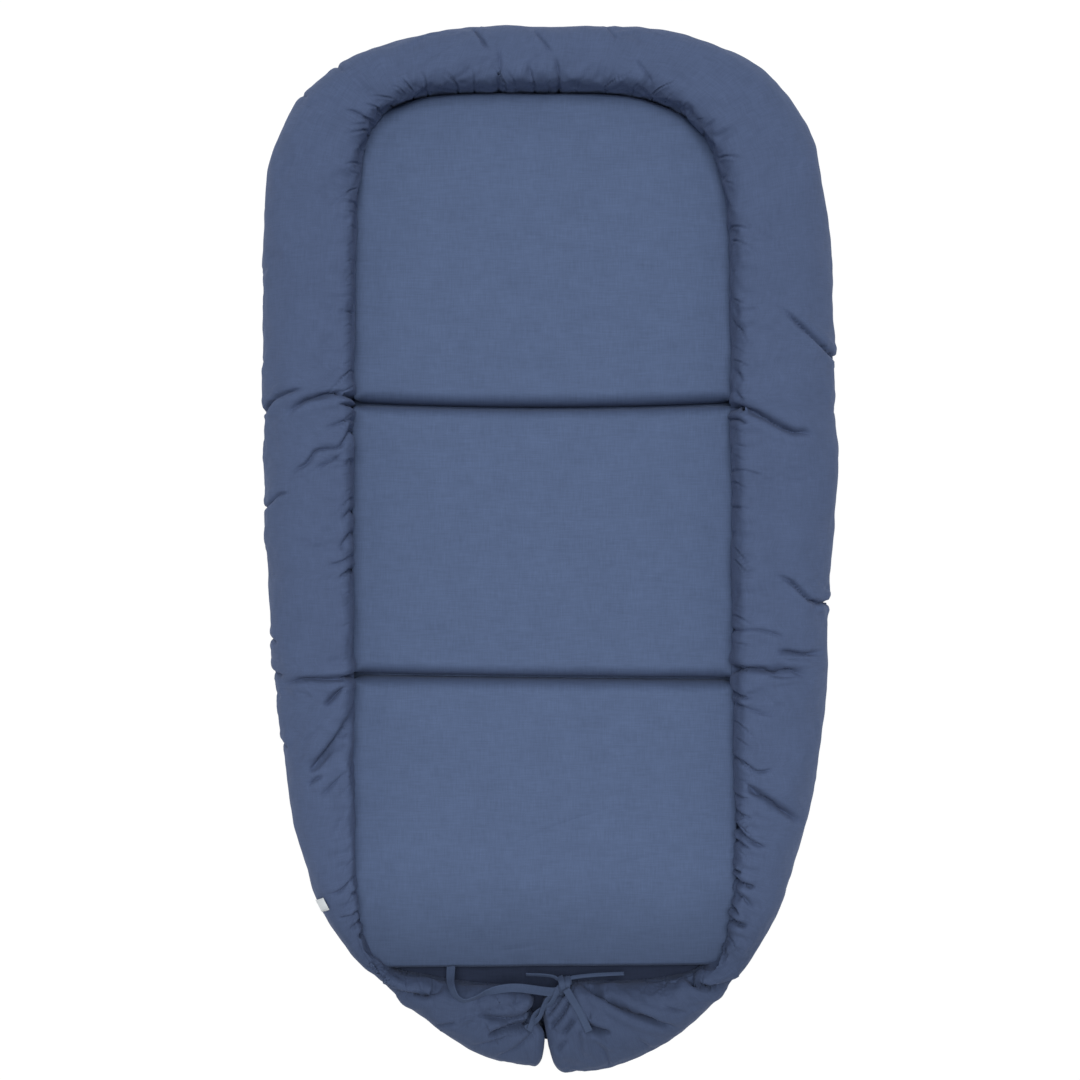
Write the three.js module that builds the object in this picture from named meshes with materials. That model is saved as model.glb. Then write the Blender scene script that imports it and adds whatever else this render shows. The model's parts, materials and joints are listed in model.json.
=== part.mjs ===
// An infant lounger lying flat: a quilted pad of three foam panels inside a stuffed roll.
// The roll runs round the head and both sides, and its two tails are drawn together
// by a tape at the foot. The head and foot ends fold up over the middle at the two quilted lines.
// Lengths are in millimetres. +Z is up, +Y points to the head end, and the origin lies on the floor
// under the centre of the whole lounger.
import * as THREE from "three";

// Pad: three foam panels, one behind the other.
const pad_width = 324;
const head_panel_length = 273;
const middle_panel_length = 231;
const foot_panel_length = 255;
const foam_thickness = 31;
const foam_crown = 6;
const panel_side_round = 22;
const panel_fold_round = 12;
const foot_taper = 27;
const foot_taper_length = 130;
const panel_corner_radius = 7;
const foot_corner_radius = 22;

// Roll: a stuffed tube of cloth, measured in plan from the pad's seam to its outer edge.
const side_roll_width = 87;
const head_roll_width = 55;
const tail_reach = 86;
const left_tail_shortfall = 7;
const roll_height = 80;
const head_roll_height = 74;
const tail_height = 48;
const head_arch_start = 67;
const widest_below_head_fold = 62;
const tail_gap = 4;

// Cloth, sewing and running gaps.
const cloth = 1.4;
const seat_gap = 0.3;
const fill_gap = 0.5;
const fibre_gap = 1.2;
const fold_gap = 0.8;
const longest_panel_run = 46;
const seam_gap = 0.4;

// Folds: each end turns up by this much before the stuffed flaps meet.
const fold_limit_deg = 100;
const crease_clearance_deg = 2;
const crease_floor = 3;

// Flat tapes that draw the tails together at the pad's foot edge, and their knot.
const tie_width = 9;
const drawstring_width = 7;
const hem_tape_width = 7;
const tape_thickness = 1.6;
const tape_step = 6;
const knot_width = 13;
const knot_length = 15;
const knot_height = 10;

// Care tab, bare, sewn under the roll's outer edge.
const tab_width = 16;
const tab_reach = 19;
const tab_thickness = 0.8;

// Powers of the rounded outlines: 2 is an ellipse, and more is squarer.
const pad_arch_power = 3.6;
const roll_arch_power = 3.2;
const roll_taper_across_power = 2.2;
const roll_taper_along_power = 2.6;

// Places along the length, worked out from the sizes above.
const lounger_length =
  head_roll_width + head_panel_length + middle_panel_length + foot_panel_length + tail_reach;
const head_end_y = lounger_length / 2;
const foot_end_y = -lounger_length / 2;
const pad_head_y = head_end_y - head_roll_width;
const head_fold_y = pad_head_y - head_panel_length;
const foot_fold_y = head_fold_y - middle_panel_length;
const pad_foot_y = foot_fold_y - foot_panel_length;
const arch_y = head_fold_y + head_arch_start;
const widest_y = head_fold_y - widest_below_head_fold;
const pad_half_width = pad_width / 2;
const roll_half_width = pad_half_width + side_roll_width;

// Heights above the floor.
const foam_floor = cloth + seat_gap;
const foam_top = foam_floor + foam_thickness;
const panel_edge_top = foam_top + fill_gap + cloth;
const fold_axis_z = panel_edge_top;
const half_fold_slope = Math.tan(
  THREE.MathUtils.degToRad(fold_limit_deg / 2 + crease_clearance_deg),
);

const blue_cloth = { color: 0x586887, roughness: 0.85, metalness: 0 };
const white_foam = { color: 0xe9e6da, roughness: 0.95, metalness: 0 };
const white_fibre = { color: 0xf4f4f2, roughness: 1, metalness: 0 };
const blue_tape = { color: 0x4f5b78, roughness: 0.75, metalness: 0 };
const white_satin = { color: 0xf0f0ee, roughness: 0.6, metalness: 0 };

const lounger = new THREE.Group();

// Adds a geometry to the lounger as a named mesh of its own material.
function add(name, geometry, look) {
  const mesh = new THREE.Mesh(geometry, new THREE.MeshStandardMaterial(look));
  mesh.name = name;
  lounger.add(mesh);
}

// Geometry from triangles given as lists of three points.
function fromTriangles(triangles) {
  const positions = triangles.flatMap((corners) => corners.flatMap((p) => [p.x, p.y, p.z]));
  const geometry = new THREE.BufferGeometry();
  geometry.setAttribute("position", new THREE.Float32BufferAttribute(positions, 3));
  return geometry;
}

// The triangles between two rings of equally many points.
function band(lower, upper) {
  return lower.flatMap((point, i) => {
    const next = (i + 1) % lower.length;
    return [
      [point, lower[next], upper[next]],
      [point, upper[next], upper[i]],
    ];
  });
}

// The triangles of the bands that join each ring to the next.
function skin(rings) {
  return rings.slice(1).flatMap((ring, i) => band(rings[i], ring));
}

function flipped(triangles) {
  return triangles.map(([a, b, c]) => [a, c, b]);
}

// Triangles that close a ring and all meet at its middle.
function fanCap(ring) {
  const middle = new THREE.Vector3();
  ring.forEach((point) => middle.addScaledVector(point, 1 / ring.length));
  return ring.map((point, i) => [middle, point, ring[(i + 1) % ring.length]]);
}

// Triangles that close a ring in rungs across it, from its top point down both sides.
function rungCap(ring, top_index) {
  const rungs = Array.from({ length: (ring.length + 1) / 2 }, (_, k) => [
    ring.at((top_index - k) % ring.length),
    ring.at((top_index + k) % ring.length),
  ]);
  const steps = rungs.slice(1).flatMap(([left, right], k) => {
    const [left_above, right_above] = rungs[k];
    return [
      [left_above, right_above, right],
      [left_above, right, left],
    ];
  });
  return steps.slice(1);
}

// Turns the faces the right way out, by the sign of the volume that they enclose.
function facingOut(triangles) {
  const volume = triangles.reduce((sum, [a, b, c]) => sum + a.dot(b.clone().cross(c)), 0);
  return volume < 0 ? flipped(triangles) : triangles;
}

// A closed solid through a list of rings, with a cap over the first and the last.
function closedSolid(rings, capOf) {
  const first = flipped(capOf(rings[0]));
  const last = capOf(rings.at(-1));
  return fromTriangles(facingOut([...first, ...skin(rings), ...last]));
}

// A signed power, for rounded outlines.
function signedPower(value, power) {
  return Math.sign(value) * Math.abs(value) ** power;
}

// A point of a rounded outline about a centre, at an angle from +X.
function roundedPoint(centre_y, half_x, half_y, across_power, along_power, angle) {
  return new THREE.Vector2(
    half_x * signedPower(Math.cos(angle), 2 / across_power),
    centre_y + half_y * signedPower(Math.sin(angle), 2 / along_power),
  );
}

// Outlines of the pad's panels.
const corner_steps = 3;
const arch_steps = 14;

// The arc that rounds one corner of a polygon, between its neighbours before and after.
function roundedCorner(before, corner, after, radius) {
  if (radius === 0) return [corner];
  const back = before.clone().sub(corner).normalize();
  const ahead = after.clone().sub(corner).normalize();
  const half_angle = Math.acos(back.dot(ahead)) / 2;
  const centre = back
    .clone()
    .add(ahead)
    .setLength(radius / Math.sin(half_angle))
    .add(corner);
  const reach = radius / Math.tan(half_angle);
  const start = back.multiplyScalar(reach).add(corner).sub(centre);
  const end = ahead.multiplyScalar(reach).add(corner).sub(centre);
  const sweep = Math.atan2(start.x * end.y - start.y * end.x, start.dot(end));
  return Array.from({ length: corner_steps + 1 }, (_, i) =>
    start.clone().rotateAround(new THREE.Vector2(), (sweep * i) / corner_steps).add(centre),
  );
}

// A closed outline from corners with their radii. Its long straight runs are divided.
function roundedOutline(corners) {
  const rounded = corners.flatMap(([point, radius], i) => {
    const before = corners.at(i - 1)[0];
    const after = corners[(i + 1) % corners.length][0];
    return roundedCorner(before, point, after, radius);
  });
  return rounded.flatMap((point, i) => {
    const next = rounded[(i + 1) % rounded.length];
    const pieces = Math.ceil(point.distanceTo(next) / longest_panel_run);
    return Array.from({ length: pieces }, (_, k) => point.clone().lerp(next, k / pieces));
  });
}

// The half width of the pad, which narrows towards its foot edge.
function padHalfWidthAt(y) {
  const into_taper = Math.max(0, pad_foot_y + foot_taper_length - y);
  return pad_half_width - (foot_taper * into_taper) / foot_taper_length;
}

function headOutline() {
  const fold_edge_y = head_fold_y + fold_gap / 2;
  const rise = pad_head_y - arch_y;
  const arch = Array.from({ length: arch_steps + 1 }, (_, i) => {
    const angle = (Math.PI * i) / arch_steps;
    return [roundedPoint(arch_y, pad_half_width, rise, pad_arch_power, pad_arch_power, angle), 0];
  });
  return roundedOutline([
    [new THREE.Vector2(-pad_half_width, fold_edge_y), panel_corner_radius],
    [new THREE.Vector2(pad_half_width, fold_edge_y), panel_corner_radius],
    ...arch,
  ]);
}

function middleOutline() {
  const head_side_y = head_fold_y - fold_gap / 2;
  const foot_side_y = foot_fold_y + fold_gap / 2;
  return roundedOutline([
    [new THREE.Vector2(-pad_half_width, foot_side_y), panel_corner_radius],
    [new THREE.Vector2(pad_half_width, foot_side_y), panel_corner_radius],
    [new THREE.Vector2(pad_half_width, head_side_y), panel_corner_radius],
    [new THREE.Vector2(-pad_half_width, head_side_y), panel_corner_radius],
  ]);
}

function footOutline() {
  const fold_edge_y = foot_fold_y - fold_gap / 2;
  const taper_y = pad_foot_y + foot_taper_length;
  const foot_half_width = pad_half_width - foot_taper;
  return roundedOutline([
    [new THREE.Vector2(-foot_half_width, pad_foot_y), foot_corner_radius],
    [new THREE.Vector2(foot_half_width, pad_foot_y), foot_corner_radius],
    [new THREE.Vector2(pad_half_width, taper_y), 0],
    [new THREE.Vector2(pad_half_width, fold_edge_y), panel_corner_radius],
    [new THREE.Vector2(-pad_half_width, fold_edge_y), panel_corner_radius],
    [new THREE.Vector2(-pad_half_width, taper_y), 0],
  ]);
}

// Cloths and foam of the pad's panels.
// Shares of the edge's rounding, then of the way in to the middle, at which a panel has a ring.
const rounding_shares = [0, 0.1, 0.3, 0.6, 1];
const crown_shares = [0.22, 0.5, 0.8];

// The rings of a crowned panel set in from its outline, from its rim up and in to its middle.
function panelRings(outline, inset, rim_z, edge_z) {
  const box = new THREE.Box2().setFromPoints(outline);
  const centre = box.getCenter(new THREE.Vector2());
  const half = box.getSize(new THREE.Vector2()).divideScalar(2);
  const ring = (scale, z) =>
    outline.map((p) => {
      const at = p.clone().sub(centre).multiply(scale).add(centre);
      return new THREE.Vector3(at.x, at.y, z);
    });
  const scaleAt = (rounding_share) =>
    new THREE.Vector2(
      1 - (inset + panel_side_round * rounding_share) / half.x,
      1 - (inset + panel_fold_round * rounding_share) / half.y,
    );
  const edge = rounding_shares.map((share) => {
    const rise = Math.sqrt(1 - (1 - share) ** 2);
    return ring(scaleAt(share), rim_z + (edge_z - rim_z) * rise);
  });
  const crown = crown_shares.map((share) => {
    const left = 1 - share;
    return ring(scaleAt(1).multiplyScalar(left), edge_z + foam_crown * (1 - left ** 2));
  });
  return [...edge, ...crown];
}

// A panel's top cloth, open underneath, where the base cloth closes it.
function topCloth(outline) {
  const outer = panelRings(outline, 0, foam_floor, panel_edge_top);
  const inner = panelRings(outline, cloth, foam_floor, panel_edge_top - cloth);
  return closedSolid([...inner.reverse(), ...outer], fanCap);
}

function foamSlab(outline) {
  return closedSolid(panelRings(outline, cloth + fill_gap, foam_floor, foam_top), fanCap);
}

function baseCloth(outline) {
  const ring = (z) => outline.map((p) => new THREE.Vector3(p.x, p.y, z));
  return closedSolid([ring(0), ring(cloth)], fanCap);
}

const panels = { head: headOutline(), middle: middleOutline(), foot: footOutline() };
for (const [place, outline] of Object.entries(panels)) {
  add(`${place}_base_cloth`, baseCloth(outline), blue_cloth);
  add(`${place}_foam`, foamSlab(outline), white_foam);
  add(`${place}_top_cloth`, topCloth(outline), blue_cloth);
}

// Section of the roll, in shares of its width and height: from the seam at the pad up over
// the top to the outer edge, and back along the floor.
const axis_height_share = fold_axis_z / roll_height;
const section_shares = [
  [0, 0.14],
  [0.04, axis_height_share],
  [0.12, 0.67],
  [0.25, 0.87],
  [0.41, 0.98],
  [0.57, 1],
  [0.73, 0.94],
  [0.87, 0.8],
  [0.96, 0.62],
  [1, axis_height_share],
  [0.975, 0.2],
  [0.9, 0.06],
  [0.78, 0],
  [0.3, 0],
  [0.1, 0.03],
];
const top_index = 5;
const axis_indices = [1, 9];
const floor_seam_index = 11;

// A rib is where the roll is cut across: its seam point, its outer point and its height.
function rib(inner, outer, height) {
  return { inner, outer, height };
}

// The rib's section moved in from its skin, as flat points along the rib and up.
function sectionOf({ inner, outer, height }, inset) {
  const size = new THREE.Vector2(inner.distanceTo(outer), height);
  const points = section_shares.map(([u, z]) => new THREE.Vector2(u, z).multiply(size));
  const normal = (from, to) => new THREE.Vector2(to.y - from.y, from.x - to.x).normalize();
  return points.map((point, i) => {
    const before = normal(points.at(i - 1), point);
    const after = normal(point, points[(i + 1) % points.length]);
    const mitre = before.clone().add(after).normalize();
    return point.clone().addScaledVector(mitre, inset / mitre.dot(after));
  });
}

function ringOf(a_rib, inset) {
  const along = a_rib.outer.clone().sub(a_rib.inner).normalize();
  return sectionOf(a_rib, inset).map((p) => {
    const at = along.clone().multiplyScalar(p.x).add(a_rib.inner);
    return new THREE.Vector3(at.x, at.y, p.y);
  });
}

function sectionCap(ring) {
  return rungCap(ring, top_index);
}

// A sleeve open at both ends: its outer skin, and back along its inner one.
function openSleeve(ringsAt) {
  const outer = ringsAt(0);
  const inner = ringsAt(cloth);
  return fromTriangles(facingOut(skin([...outer, ...inner.reverse(), outer[0]])));
}

// A sleeve open at its first ring, with its cloth drawn over its last.
function endedSleeve(ringsAt) {
  const inner = ringsAt(cloth).slice(0, -1);
  return closedSolid([...inner.reverse(), ...ringsAt(0)], sectionCap);
}

function mirrored(rings) {
  return rings.map((ring) => ring.map((p) => new THREE.Vector3(-p.x, p.y, p.z)));
}

// Ribs of the roll.

// A point of the lounger's outline below its widest place, at a share of a quarter turn from +X.
function outlineBelow(turn_share, shortfall) {
  const fall = widest_y - foot_end_y - shortfall;
  const angle = (-turn_share * Math.PI) / 2;
  return roundedPoint(
    widest_y,
    roll_half_width,
    fall,
    roll_taper_across_power,
    roll_taper_along_power,
    angle,
  );
}

function outlineAt(y, shortfall) {
  const down_share = Math.max(0, widest_y - y) / (widest_y - foot_end_y - shortfall);
  const angle = Math.asin(down_share ** (roll_taper_along_power / 2));
  return outlineBelow(angle / (Math.PI / 2), shortfall);
}

function sideRib(y) {
  const inner = new THREE.Vector2(padHalfWidthAt(y) + seam_gap, y);
  const outer = new THREE.Vector2(outlineAt(y, 0).x, y);
  return rib(inner, outer, roll_height);
}

// How far a fold's face lies behind the fold, at a height above the floor.
function foldSetback(z) {
  return Math.max(0, z - fold_axis_z) * half_fold_slope;
}

// The point of the roll's section that is set back from a fold by its own height.
function foldPoint(fold_y, side, gap, inset, i) {
  const z = sectionOf(sideRib(fold_y), inset)[i].y;
  const y = fold_y + side * (gap + foldSetback(z));
  const a_rib = sideRib(y);
  return new THREE.Vector3(a_rib.inner.x + sectionOf(a_rib, inset)[i].x, y, z);
}

// The ring at a fold, on its head side (+1) or its foot side (-1). Its upper part slants back,
// so that the flap can turn up.
function foldRing(fold_y, side, inset) {
  return section_shares.map((_, i) => foldPoint(fold_y, side, fold_gap / 2, inset, i));
}

// Rings round the head, from the right end at the fold to the left one.
const quarter_rib_steps = 10;

function headRings(inset) {
  const arch = Array.from({ length: quarter_rib_steps + 1 }, (_, i) => {
    const angle = ((Math.PI / 2) * i) / quarter_rib_steps;
    const on = (half_x, half_y, power) =>
      roundedPoint(arch_y, half_x, half_y, power, power, angle);
    const seam_rise = pad_head_y - arch_y + seam_gap;
    const inner = on(pad_half_width + seam_gap, seam_rise, pad_arch_power);
    const outer = on(roll_half_width, head_end_y - arch_y, roll_arch_power);
    const height = roll_height + (head_roll_height - roll_height) * Math.sin(angle) ** 2;
    return ringOf(rib(inner, outer, height), inset);
  });
  const right = [foldRing(head_fold_y, 1, inset), ...arch];
  return [...right, ...mirrored(right.slice(0, -1)).reverse()];
}

// Rings of the right side of the roll, between the folds.
const past_crease = foldSetback(roll_height) + cloth;

function sideRings(inset) {
  const straight = [
    head_fold_y - past_crease,
    (head_fold_y + foot_fold_y) / 2,
    foot_fold_y + past_crease,
  ].map((y) => ringOf(sideRib(y), inset));
  return [foldRing(head_fold_y, -1, inset), ...straight, foldRing(foot_fold_y, 1, inset)];
}

// Places of the ribs of a tail beside the pad: how far down the foot panel they lie, as a share
// of its length, and their height as a share of the roll's.
const beside_pad_shares = [
  [0.37, 0.94],
  [0.53, 0.87],
  [0.71, 0.78],
  [0.83, 0.71],
  [0.93, 0.66],
];
const tab_rib_index = 3;

// How far the outer end of a rib leans down at the pad's foot edge, as a share of the roll's width.
const lean_share = 0.2;

// Places of the ribs below the pad: how far out their inner point lies, as a share of the pad's
// half width; how far down, as a share of the tail's reach; where their outer point lies, as a share
// of a quarter turn of the outline; and their height as a share of the tail's.
const below_pad_shares = [
  [0.79, 0.05, 0.623, 1.03],
  [0.66, 0.09, 0.684, 1],
  [0.51, 0.1, 0.75, 1],
  [0.36, 0.11, 0.812, 1],
  [0.23, 0.14, 0.866, 0.98],
  [0.12, 0.22, 0.92, 0.92],
];
const tip_down_share = 0.46;
const tip_turn_share = 0.98;
const tip_height_share = 0.7;

// Ribs of the right tail, from the fold to its tip.
function tailRibs(shortfall) {
  const beside = beside_pad_shares.map(([down_share, height_share]) => {
    const y = foot_fold_y - down_share * foot_panel_length;
    const inner = new THREE.Vector2(padHalfWidthAt(y) + seam_gap, y);
    const outer = outlineAt(y - down_share * lean_share * side_roll_width, shortfall);
    return rib(inner, outer, roll_height * height_share);
  });
  const below = below_pad_shares.map(([across_share, down_share, turn_share, height_share]) => {
    const inner = new THREE.Vector2(
      across_share * pad_half_width,
      pad_foot_y - down_share * tail_reach,
    );
    return rib(inner, outlineBelow(turn_share, shortfall), tail_height * height_share);
  });
  const tip_inner = new THREE.Vector2(tail_gap / 2, pad_foot_y - tip_down_share * tail_reach);
  const tip_outer = outlineBelow(tip_turn_share, shortfall);
  const tip = rib(tip_inner, tip_outer, tail_height * tip_height_share);
  return [sideRib(foot_fold_y - past_crease), ...beside, ...below, tip];
}

function tailRings(shortfall, inset) {
  const ribs = tailRibs(shortfall).map((a_rib) => ringOf(a_rib, inset));
  return [foldRing(foot_fold_y, -1, inset), ...ribs];
}

// Creases: at each fold, cloth and fibre fill the notch between the slanted ends of the roll,
// and crush together when the flap turns up.
const [inner_axis_index, outer_axis_index] = axis_indices;

function creaseRing(fold_y, side) {
  const ring = section_shares.map((_, i) => {
    const p = foldPoint(fold_y, side, -seam_gap, 0, i);
    p.z = Math.max(p.z, fold_axis_z + crease_floor);
    p.y = fold_y + side * (foldSetback(p.z) - seam_gap);
    return p;
  });
  return ring.filter((_, i) => i >= inner_axis_index && i <= outer_axis_index);
}

function crease(fold_y, place) {
  const rings = [creaseRing(fold_y, -1), creaseRing(fold_y, 0), creaseRing(fold_y, 1)];
  return closedSolid(place(rings), (ring) => rungCap(ring, top_index - inner_axis_index));
}

// The cloth's sleeves and the fibre that they hold.
const filling_inset = cloth + fibre_gap;
add("head_roll_sleeve", openSleeve(headRings), blue_cloth);
add("head_roll_filling", closedSolid(headRings(filling_inset), sectionCap), white_fibre);

const sides = {
  left: { place: mirrored, shortfall: left_tail_shortfall },
  right: { place: (rings) => rings, shortfall: 0 },
};
for (const [side, { place, shortfall }] of Object.entries(sides)) {
  const rollAt = (inset) => place(sideRings(inset));
  const tailAt = (inset) => place(tailRings(shortfall, inset));
  const tail_filling = tailAt(filling_inset).slice(0, -1);
  add(`${side}_roll_sleeve`, openSleeve(rollAt), blue_cloth);
  add(`${side}_roll_filling`, closedSolid(rollAt(filling_inset), sectionCap), white_fibre);
  add(`${side}_tail_sleeve`, endedSleeve(tailAt), blue_cloth);
  add(`${side}_tail_filling`, closedSolid(tail_filling, sectionCap), white_fibre);
  add(`${side}_head_crease`, crease(head_fold_y, place), blue_cloth);
  add(`${side}_foot_crease`, crease(foot_fold_y, place), blue_cloth);
}

// Routes of the tapes, chosen by hand from the photograph. Each starts at the knot, and its second
// number is measured up from the pad's foot edge.
const knot_place = [12, -12.4, 30];
const tie_route = [
  [5.3, -13.4, 31],
  [-3, -15.2, 30.6],
  [-17.2, -13.3, 29],
  [-31.4, -12.6, 31.6],
  [-46, -16.4, 38.9],
  [-59.8, -20.8, 45.7],
  [-72.7, -23.4, 48.3],
  [-81.3, -19.3, 46.7],
  [-86.5, -10.7, 38.1],
  [-86, 0.9, 23.2],
];
const left_drawstring_route = [
  [9.2, -20, 28.2],
  [0, -27.5, 29.8],
  [-10.5, -36, 34.4],
  [-18.5, -44.3, 40.4],
];
const right_drawstring_route = [
  [14.6, -19.8, 30],
  [19.4, -26.6, 33.4],
  [26.2, -39.1, 43.1],
  [31.4, -47.7, 45.4],
];
const left_hem_route = [
  [7.4, -7.6, 26.4],
  [-4, -1.6, 22.6],
  [-18.5, 0.8, 20],
];
const right_hem_route = [
  [16.8, -7.6, 26.4],
  [39.1, -0.6, 22.6],
  [64.1, 0.8, 20],
];

// A flat tape along a route. Its section lies flat, or stands on edge.
function tape(route, width, on_edge) {
  const points = route.map(([x, y, z]) => new THREE.Vector3(x, pad_foot_y + y, z));
  const path = new THREE.CatmullRomCurve3(points);
  const upright = on_edge ? width : tape_thickness;
  const across = on_edge ? tape_thickness : width;
  const section = new THREE.Shape().absellipse(0, 0, upright / 2, across / 2, 0, Math.PI * 2);
  return new THREE.ExtrudeGeometry(section, {
    steps: Math.ceil(path.getLength() / tape_step),
    curveSegments: 5,
    bevelEnabled: false,
    extrudePath: path,
  });
}

function knot() {
  const ball = new THREE.SphereGeometry(1, 12, 8);
  ball.scale(knot_width / 2, knot_length / 2, knot_height / 2);
  ball.translate(...knot_place);
  ball.translate(0, pad_foot_y, 0);
  return ball;
}

add("tie_knot", knot(), blue_tape);
add("slack_tie", tape(tie_route, tie_width, false), blue_tape);
add("left_drawstring", tape(left_drawstring_route, drawstring_width, false), blue_tape);
add("right_drawstring", tape(right_drawstring_route, drawstring_width, false), blue_tape);
add("left_hem_tape", tape(left_hem_route, hem_tape_width, true), blue_tape);
add("right_hem_tape", tape(right_hem_route, hem_tape_width, true), blue_tape);

// The care tab starts at the left tail's floor seam and lies square to it.
function careTab() {
  const ribs = tailRibs(left_tail_shortfall);
  const floor_seam = ribs.map((a_rib) => ringOf(a_rib, 0)[floor_seam_index]);
  const seam = floor_seam[tab_rib_index];
  const down_seam = floor_seam[tab_rib_index + 1].clone().sub(floor_seam[tab_rib_index - 1]);
  const tab = new THREE.BoxGeometry(tab_reach, tab_width, tab_thickness);
  tab.translate(seat_gap + tab_reach / 2, 0, -tab_thickness / 2);
  tab.rotateZ(Math.atan2(down_seam.x, down_seam.y));
  tab.translate(-seam.x, seam.y, seam.z);
  return tab;
}

add("care_tab", careTab(), white_satin);

export default lounger;
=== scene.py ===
# An infant lounger lying flat on a pale floor, seen from straight above: a quilted pad of three
# panels inside a stuffed roll of the same slate-blue cotton. Lengths are in metres.
import json
import math

import bpy
import numpy as np
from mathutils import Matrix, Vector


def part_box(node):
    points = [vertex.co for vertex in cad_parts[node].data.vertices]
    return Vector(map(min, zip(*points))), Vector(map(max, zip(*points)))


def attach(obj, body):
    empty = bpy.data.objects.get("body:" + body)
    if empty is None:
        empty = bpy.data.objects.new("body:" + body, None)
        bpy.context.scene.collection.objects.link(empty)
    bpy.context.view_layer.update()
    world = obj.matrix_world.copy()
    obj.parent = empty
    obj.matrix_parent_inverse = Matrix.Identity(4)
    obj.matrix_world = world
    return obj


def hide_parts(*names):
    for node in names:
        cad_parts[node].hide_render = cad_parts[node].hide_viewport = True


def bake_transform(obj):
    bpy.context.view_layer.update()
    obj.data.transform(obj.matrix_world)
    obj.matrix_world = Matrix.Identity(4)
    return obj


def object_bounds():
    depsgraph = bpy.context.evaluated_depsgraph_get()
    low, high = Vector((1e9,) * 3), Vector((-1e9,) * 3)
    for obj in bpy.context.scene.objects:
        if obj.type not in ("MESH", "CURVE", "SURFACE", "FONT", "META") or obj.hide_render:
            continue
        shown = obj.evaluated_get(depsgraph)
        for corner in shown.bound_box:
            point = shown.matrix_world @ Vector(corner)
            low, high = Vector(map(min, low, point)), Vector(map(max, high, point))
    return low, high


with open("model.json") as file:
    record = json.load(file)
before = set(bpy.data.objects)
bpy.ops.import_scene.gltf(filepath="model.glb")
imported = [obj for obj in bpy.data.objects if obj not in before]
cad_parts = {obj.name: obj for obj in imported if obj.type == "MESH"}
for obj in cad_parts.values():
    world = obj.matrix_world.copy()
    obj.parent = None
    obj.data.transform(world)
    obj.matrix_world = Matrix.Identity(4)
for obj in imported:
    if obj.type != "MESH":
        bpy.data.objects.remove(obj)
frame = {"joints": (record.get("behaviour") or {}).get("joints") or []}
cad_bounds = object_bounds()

mm = 0.001

# Places from the frame.
(_, foot_end_y, _), (roll_half_width, head_end_y, _) = cad_bounds
pad_half_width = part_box("middle_top_cloth")[1][0]
pad_head_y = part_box("head_top_cloth")[1][1]
pad_foot_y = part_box("foot_top_cloth")[0][1]
roll_top_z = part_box("right_roll_sleeve")[1][2]
head_roll_top_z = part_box("head_roll_sleeve")[1][2]
head_fold_y, foot_fold_y = (joint["pos_m"][1] for joint in frame["joints"])
fold_z = frame["joints"][0]["pos_m"][2]
split_y = (head_fold_y + foot_fold_y) / 2
foot_panel_length = foot_fold_y - pad_foot_y
tail_reach = pad_foot_y - foot_end_y

# The photograph: one of its pixels at the height of the pad's edge, its middle, and the camera.
pixel = 0.8604 * mm
photo_middle = 549.5
frame_pixels = 1080
focus_z = 35 * mm
camera_height = 2.035
camera_place = (-8.2 * mm, 8.2 * mm, camera_height)
sensor_width = 36
roll_seen_z = 68 * mm
tail_seen_z = 44 * mm


def at_pixels(points, z):
    """Places in the frame, on a level of height z, of points given in the photograph's pixels."""
    points = np.array(points, float)
    flat = np.stack([points[..., 0] - photo_middle, photo_middle - points[..., 1]], -1) * pixel
    centre = np.array(camera_place[:2])
    return centre + (flat - centre) * (camera_height - z) / (camera_height - focus_z)


def add_camera():
    camera = bpy.data.cameras.new("camera")
    camera.sensor_width = sensor_width
    camera.lens = sensor_width * (camera_height - focus_z) / (frame_pixels * pixel)
    holder = bpy.data.objects.new("camera", camera)
    holder.location = camera_place
    bpy.context.collection.objects.link(holder)
    bpy.context.scene.camera = holder


add_camera()


# Painted shade: the cloth's colour is darkened towards the foot end, where less light falls.
painted_shade_from_y = -262 * mm
painted_shade_reach = 110 * mm
painted_shade_share = 0.27


# Meshes from arrays of points.
def add_piece(name, points, faces, normals=None, place=None):
    """A mesh object from points and faces. place is each point's spot on the flat cloth."""
    points = np.asarray(points, float)
    mesh = bpy.data.meshes.new(name)
    mesh.from_pydata(points.tolist(), [], [list(map(int, face)) for face in faces])
    mesh.update()
    mesh.shade_smooth()
    if place is not None:
        # Painted shade towards the foot end, stored on the points for the cloth material.
        dim = eased((painted_shade_from_y - points[:, 1]) / painted_shade_reach)
        mesh.attributes.new("painted_foot_shade", "FLOAT", "POINT").data.foreach_set("value", dim)
        spots = np.zeros((len(points), 3), np.float32)
        spots[:, : place.shape[1]] = place
        layer = mesh.attributes.new("cloth_place", "FLOAT_VECTOR", "POINT")
        layer.data.foreach_set("vector", spots.ravel())
    if normals is not None:
        mesh.normals_split_custom_set_from_vertices(normals.tolist())
    piece = bpy.data.objects.new(name, mesh)
    bpy.context.collection.objects.link(piece)
    return piece


def grid_faces(rows, columns):
    """Four-sided faces of a tube of rings: row after row of points, each row a closed ring."""
    row, column = np.meshgrid(np.arange(rows - 1), np.arange(columns), indexing="ij")
    ahead = (column + 1) % columns
    corners = [row * columns + column, row * columns + ahead]
    corners += [(row + 1) * columns + ahead, (row + 1) * columns + column]
    return np.stack([corner.ravel() for corner in corners], -1)


def closed_tube(grid, first_centre, last_centre):
    """Points and faces of a tube of rings, with each end closed round a centre."""
    rows, columns = grid.shape[:2]
    points = np.vstack([grid.reshape(-1, 3), first_centre, last_centre])
    faces = grid_faces(rows, columns).tolist()
    base = (rows - 1) * columns
    for k in range(columns):
        ahead = (k + 1) % columns
        faces.append([ahead, k, len(points) - 2])
        faces.append([base + k, base + ahead, len(points) - 1])
    return points, faces


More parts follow.
